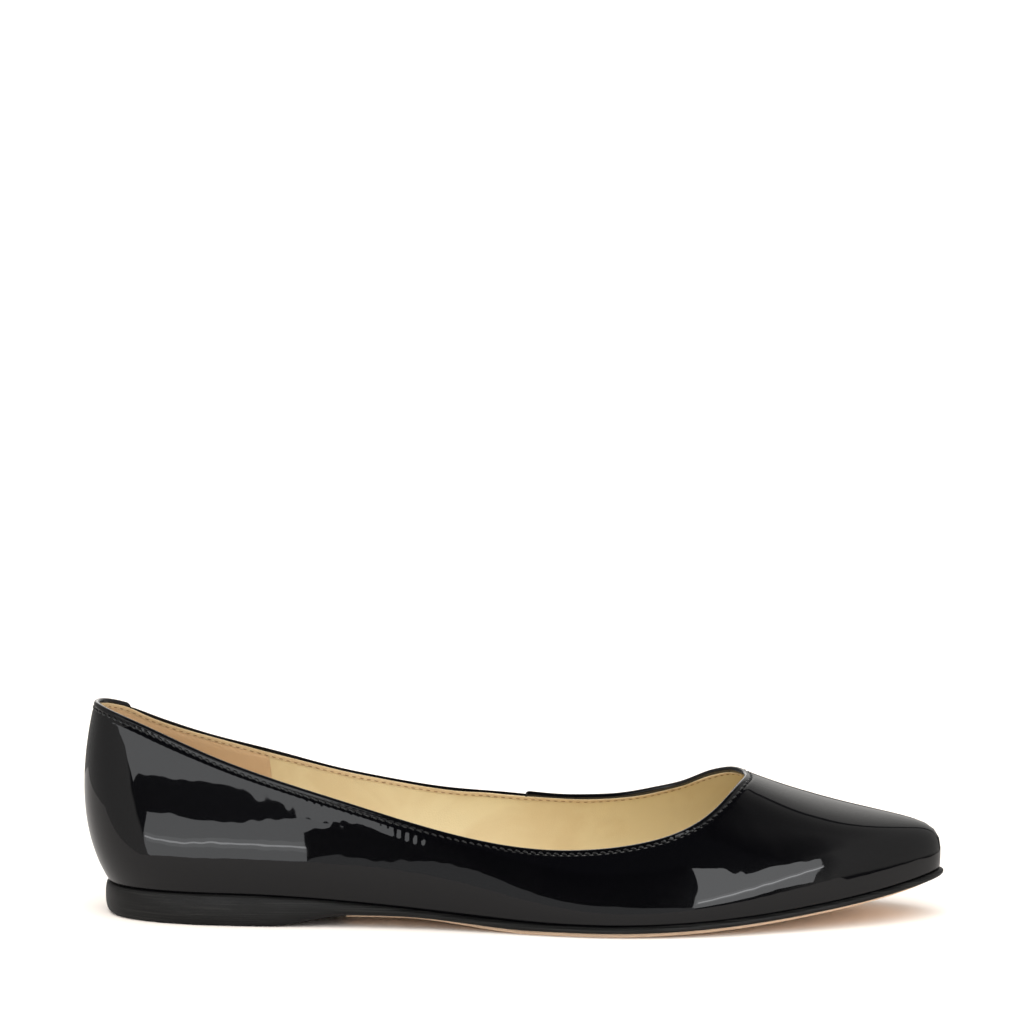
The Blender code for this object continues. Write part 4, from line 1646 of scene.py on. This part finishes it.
@dataclass
class Studio:
    """Floor, lamps and the lit cards that only the shoe's gloss sees."""

    cards: tuple[FlatCard, ...] = (
        FlatCard("heel_card_high", ((-559, 233), (-480, 285), (-351, 308), (-167, 297), (-49, 241),
                                    (22, 173), (40, 125), (78, 125), (112, 190), (112, 430),
                                    (-300, 480), (-1250, 860), (-1050, 590), (-650, 374)), 1.95),
        FlatCard("heel_card_low", ((-497, 112), (-603, -83), (-700, -343), (75, -343), (75, 125),
                                   (34, 125), (13, 120), (-33, 107), (-153, 118), (-299, 137)),
                 1.85),
        FlatCard("heel_card_glow", ((-585, -135), (-145, -58), (75, -50), (75, 12), (-145, 8),
                                    (-565, -60)), 2.35, 0.63),
        FlatCard("heel_card_line", ((-578, -103), (-145, -29), (40, -25), (40, -14), (-145, -18),
                                    (-575, -89)), 5.5, 0.62),
        FlatCard("toe_card", ((370, 1180), (398, 595), (426, -30), (690, -12), (735, 14), (785, 8),
                              (828, -20), (842, -36), (818, 110), (790, 285), (788, 480),
                              (790, 580), (752, 640), (675, 665), (612, 590), (575, 590),
                              (545, 740), (500, 900), (462, 1016)), 2.5),
        FlatCard("toe_card_glow", ((428, 55), (584, 95), (700, 160), (787, 225), (787, 335),
                                   (700, 275), (584, 200), (426, 160)), 3.1, 0.63),
        FlatCard("toe_card_line", ((432, 82), (584, 126), (700, 194), (780, 250), (780, 285),
                                   (700, 226), (584, 157), (432, 110)), 7.0, 0.62),
        FlatCard("waist_flag", ((64.6, 0.5), (64.6, 34), (68, 38), (72, 40), (74, 47), (78, 48),
                                (80.5, 52), (86, 60), (92, 75), (104, 115), (120, 200),
                                (204, 200), (206, 0.5)), 0.0, 0.112),
        FlatCard("low_card", ((50, 0.3), (65, 1.5), (66, 5), (72.5, 15.4), (81.6, 28), (90, 37),
                              (100, 43), (108, 36), (117, 25), (131, 22.7), (161.5, 26),
                              (190, 18), (214, 8), (216, 0.3)), 0.56, 0.108),
    )
    domes: tuple[DomeCard, ...] = (
        DomeCard("toe_wall", (42, 138.5), (-8, 88), 0.42, soft=2.0, soft_top=40.0, soft_start=8.0,
                 widen=1.3),
        DomeCard("heel_wall", (-176, -47.5), (-35, 62), 0.46, soft=1.5, fade=0.35),
        DomeCard("back_wall", (142, 190), (3, 62), 0.66, soft=1.5, fade=0.8),
        DomeCard("crest_wall", (177, 206), (8, 64), 1.5, soft=3.0, soft_start=3.0, radius=1.5),
    )

    table_lift: float = 0.05  # millimetres above the floor
    table_rim: tuple[tuple[float, float], ...] = (  # millimetres from the heel point
        (-280, -40), (-22, -51), (-9, -78), (13, -93), (36, -105), (65, -110), (330, -110),
        (288, -66), (320, -54), (362, -20), (370, 60), (300, 160), (-280, 300))

    def emission(self, name: str, radiance: float, soft: bool) -> bpy.types.Material:
        """A glowing material, times the piece's own glow attribute where its border is soft.

        Args:
            name: The material's name.
            radiance: Its strength.
            soft: Whether the attribute fades it.

        Returns:
            The material.
        """
        material = bpy.data.materials.new(name)
        material.use_nodes = True
        graph = Graph(material.node_tree)
        material.node_tree.nodes.remove(material.node_tree.nodes["Principled BSDF"])
        glow = graph.add("ShaderNodeEmission",
                         {"Color": (0.97, 0.985, 1.0, 1), "Strength": radiance})
        if soft:
            share = graph.add("ShaderNodeAttribute", attribute_name="glow").outputs["Fac"]
            glow.inputs["Color"].default_value = (1.0, 0.98, 0.95, 1)
            material.node_tree.links.new(graph.math("MULTIPLY", share, radiance),
                                         glow.inputs["Strength"])
        end = material.node_tree.nodes["Material Output"]
        material.node_tree.links.new(glow.outputs[0], end.inputs["Surface"])
        return material

    def stage_object(self, name: str, points: Array, faces: list, material: bpy.types.Material,
                     only_gloss: bool) -> bpy.types.Object:
        """Links a stage mesh; one that only gloss sees is hidden from every other ray.

        Args:
            name: Its name.
            points: Its points.
            faces: Its faces.
            material: Its material.
            only_gloss: Whether only glossy rays see it.

        Returns:
            The object.
        """
        mesh = bpy.data.meshes.new(name)
        mesh.from_pydata(points.tolist(), [], faces)
        mesh.materials.append(material)
        thing = bpy.data.objects.new(name, mesh)
        bpy.context.scene.collection.objects.link(thing)
        if only_gloss:
            thing.visible_camera = False
            thing.visible_diffuse = False
            thing.visible_transmission = False
            thing.visible_shadow = False
        return thing

    def matt(self, name: str, colour: tuple[float, float, float]) -> bpy.types.Material:
        """A material with no gloss.

        Args:
            name: The material's name.
            colour: Its colour.

        Returns:
            The material.
        """
        material = bpy.data.materials.new(name)
        material.use_nodes = True
        shader = material.node_tree.nodes["Principled BSDF"]
        shader.inputs["Base Color"].default_value = (*colour, 1)
        shader.inputs["Roughness"].default_value = 1.0
        shader.inputs["Specular IOR Level"].default_value = 0.0
        return material

    def add_card(self, card: FlatCard) -> bpy.types.Object:
        """Puts a flat card on its plane.

        Args:
            card: The card.

        Returns:
            The object.
        """
        flat = np.array(card.corners) * MM
        deep = np.full(len(flat), HEEL_POINT[1] - card.plane)
        points = np.column_stack([flat[:, 0] + HEEL_POINT[0], deep, flat[:, 1]])
        material = self.emission(card.name, card.radiance, soft=False)
        return self.stage_object(card.name, points, [list(range(len(flat)))], material, True)

    def add_dome(self, card: DomeCard) -> bpy.types.Object:
        """Puts a soft card on its sphere: radius times (sin a cos e, -cos a cos e, sin e).

        Its glow is the product of an eased border on each side and a fade from the first azimuth.

        Args:
            card: The card.

        Returns:
            The object.
        """
        a, e = np.meshgrid(np.linspace(*card.azimuth, 81), np.linspace(*card.elevation, 61),
                           indexing="ij")
        border = np.minimum(card.azimuth[1] - a, e - card.elevation[0])
        share = smooth_step(border, 0, card.soft)
        border = card.soft_start + card.widen * np.clip(e - 38, 0, 25)
        share = share * smooth_step(a - card.azimuth[0], 0, border)
        share = share * smooth_step(card.elevation[1] - e, 0, card.soft_top)
        share = share * np.interp(a, card.azimuth, (card.fade, 1))
        a, e = np.radians(a), np.radians(e)
        way = np.dstack([np.sin(a) * np.cos(e), -np.cos(a) * np.cos(e), np.sin(e)])
        index = np.arange(a.size).reshape(a.shape)
        material = self.emission(card.name, card.radiance, soft=True)
        thing = self.stage_object(card.name, card.radius * way.reshape(-1, 3),
                                  grid_quads(index).tolist(), material, True)
        glow = thing.data.attributes.new("glow", "FLOAT", "POINT")
        glow.data.foreach_set("value", share.ravel())
        return thing

    def add_floor(self) -> None:
        """The pale floor, and the small dim table top that gloss sees in its place."""
        wide = 1.6
        square = np.array([(-wide, -wide, 0), (wide, -wide, 0), (wide, wide, 0), (-wide, wide, 0)])
        pale = self.matt("floor_pale", (0.99, 0.92, 0.855))
        ground = self.stage_object("floor", square, [[0, 1, 2, 3]], pale, False)
        ground.visible_glossy = False
        dim = self.matt("table_dim", (0.40, 0.385, 0.375))
        top = np.array([(x, y, self.table_lift) for x, y in self.table_rim]) * MM + HEEL_POINT
        self.stage_object("table_top", top, [list(range(len(top)))], dim, True)

    def add_sun(self, name: str, azimuth: float, elevation: float, spread: float,
                strength: float) -> None:
        """A wide soft lamp from one direction that leaves no mark in the gloss.

        Args:
            name: Its name.
            azimuth: Degrees from the shoe's outer side towards the toe.
            elevation: Degrees above the floor.
            spread: Its width in degrees.
            strength: Its strength.
        """
        lamp = bpy.data.lights.new(name, "SUN")
        lamp.energy = strength
        lamp.angle = math.radians(spread)
        thing = bpy.data.objects.new(name, lamp)
        a, e = math.radians(azimuth), math.radians(elevation)
        way = Vector((math.sin(a) * math.cos(e), -math.cos(a) * math.cos(e), math.sin(e)))
        thing.rotation_mode = "QUATERNION"
        thing.rotation_quaternion = way.to_track_quat("Z", "Y")
        thing.visible_glossy = False
        bpy.context.scene.collection.objects.link(thing)

    def add_world(self) -> None:
        """White behind the floor, soft grey light on matt surfaces, and dark for the gloss."""
        world = bpy.data.worlds.new("studio")
        world.use_nodes = True
        bpy.context.scene.world = world
        graph = Graph(world.node_tree)
        world.node_tree.nodes.clear()
        path = graph.add("ShaderNodeLightPath").outputs
        white = graph.add("ShaderNodeBackground", {"Color": (1, 1, 1, 1), "Strength": 1.3})
        soft = graph.add("ShaderNodeBackground", {"Color": (1, 0.98, 0.95, 1), "Strength": 0.55})
        dark = graph.add("ShaderNodeBackground", {"Color": (0.8, 0.85, 1.0, 1), "Strength": 0.02})
        matt = graph.add("ShaderNodeMixShader", {0: path["Is Glossy Ray"], 1: soft.outputs[0],
                                                 2: dark.outputs[0]})
        seen = graph.add("ShaderNodeMixShader", {0: path["Is Camera Ray"], 1: matt.outputs[0],
                                                 2: white.outputs[0]})
        graph.add("ShaderNodeOutputWorld", {"Surface": seen.outputs[0]})

    def build(self) -> bpy.types.Object:
        """Makes the camera, the lights, the floor and the cards.

        Returns:
            The camera.
        """
        scene = bpy.context.scene
        scene.view_settings.view_transform = "Standard"
        scene.view_settings.look = "None"
        self.add_world()
        self.add_floor()
        for card in self.cards:
            self.add_card(card)
        for card in self.domes:
            self.add_dome(card)
        self.add_sun("key_light", azimuth=-20, elevation=62, spread=85, strength=2.7)
        self.add_sun("fill_light", azimuth=15, elevation=25, spread=80, strength=1.1)
        self.add_sun("back_light", azimuth=170, elevation=55, spread=80, strength=0.7)
        return Viewpoint().make()


def main() -> None:
    """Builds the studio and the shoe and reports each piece."""
    logging.basicConfig(level=logging.INFO, format="%(message)s")
    camera = Studio().build()
    log.info("camera at %s", tuple(round(value, 4) for value in camera.location))
    last = Last()
    for assembly in (Upper(last), Inside(last), Bottom(last)):
        for piece in assembly.build():
            log.info("%s: %d faces", piece.name, len(piece.data.polygons))


if __name__ == "__main__":
    main()
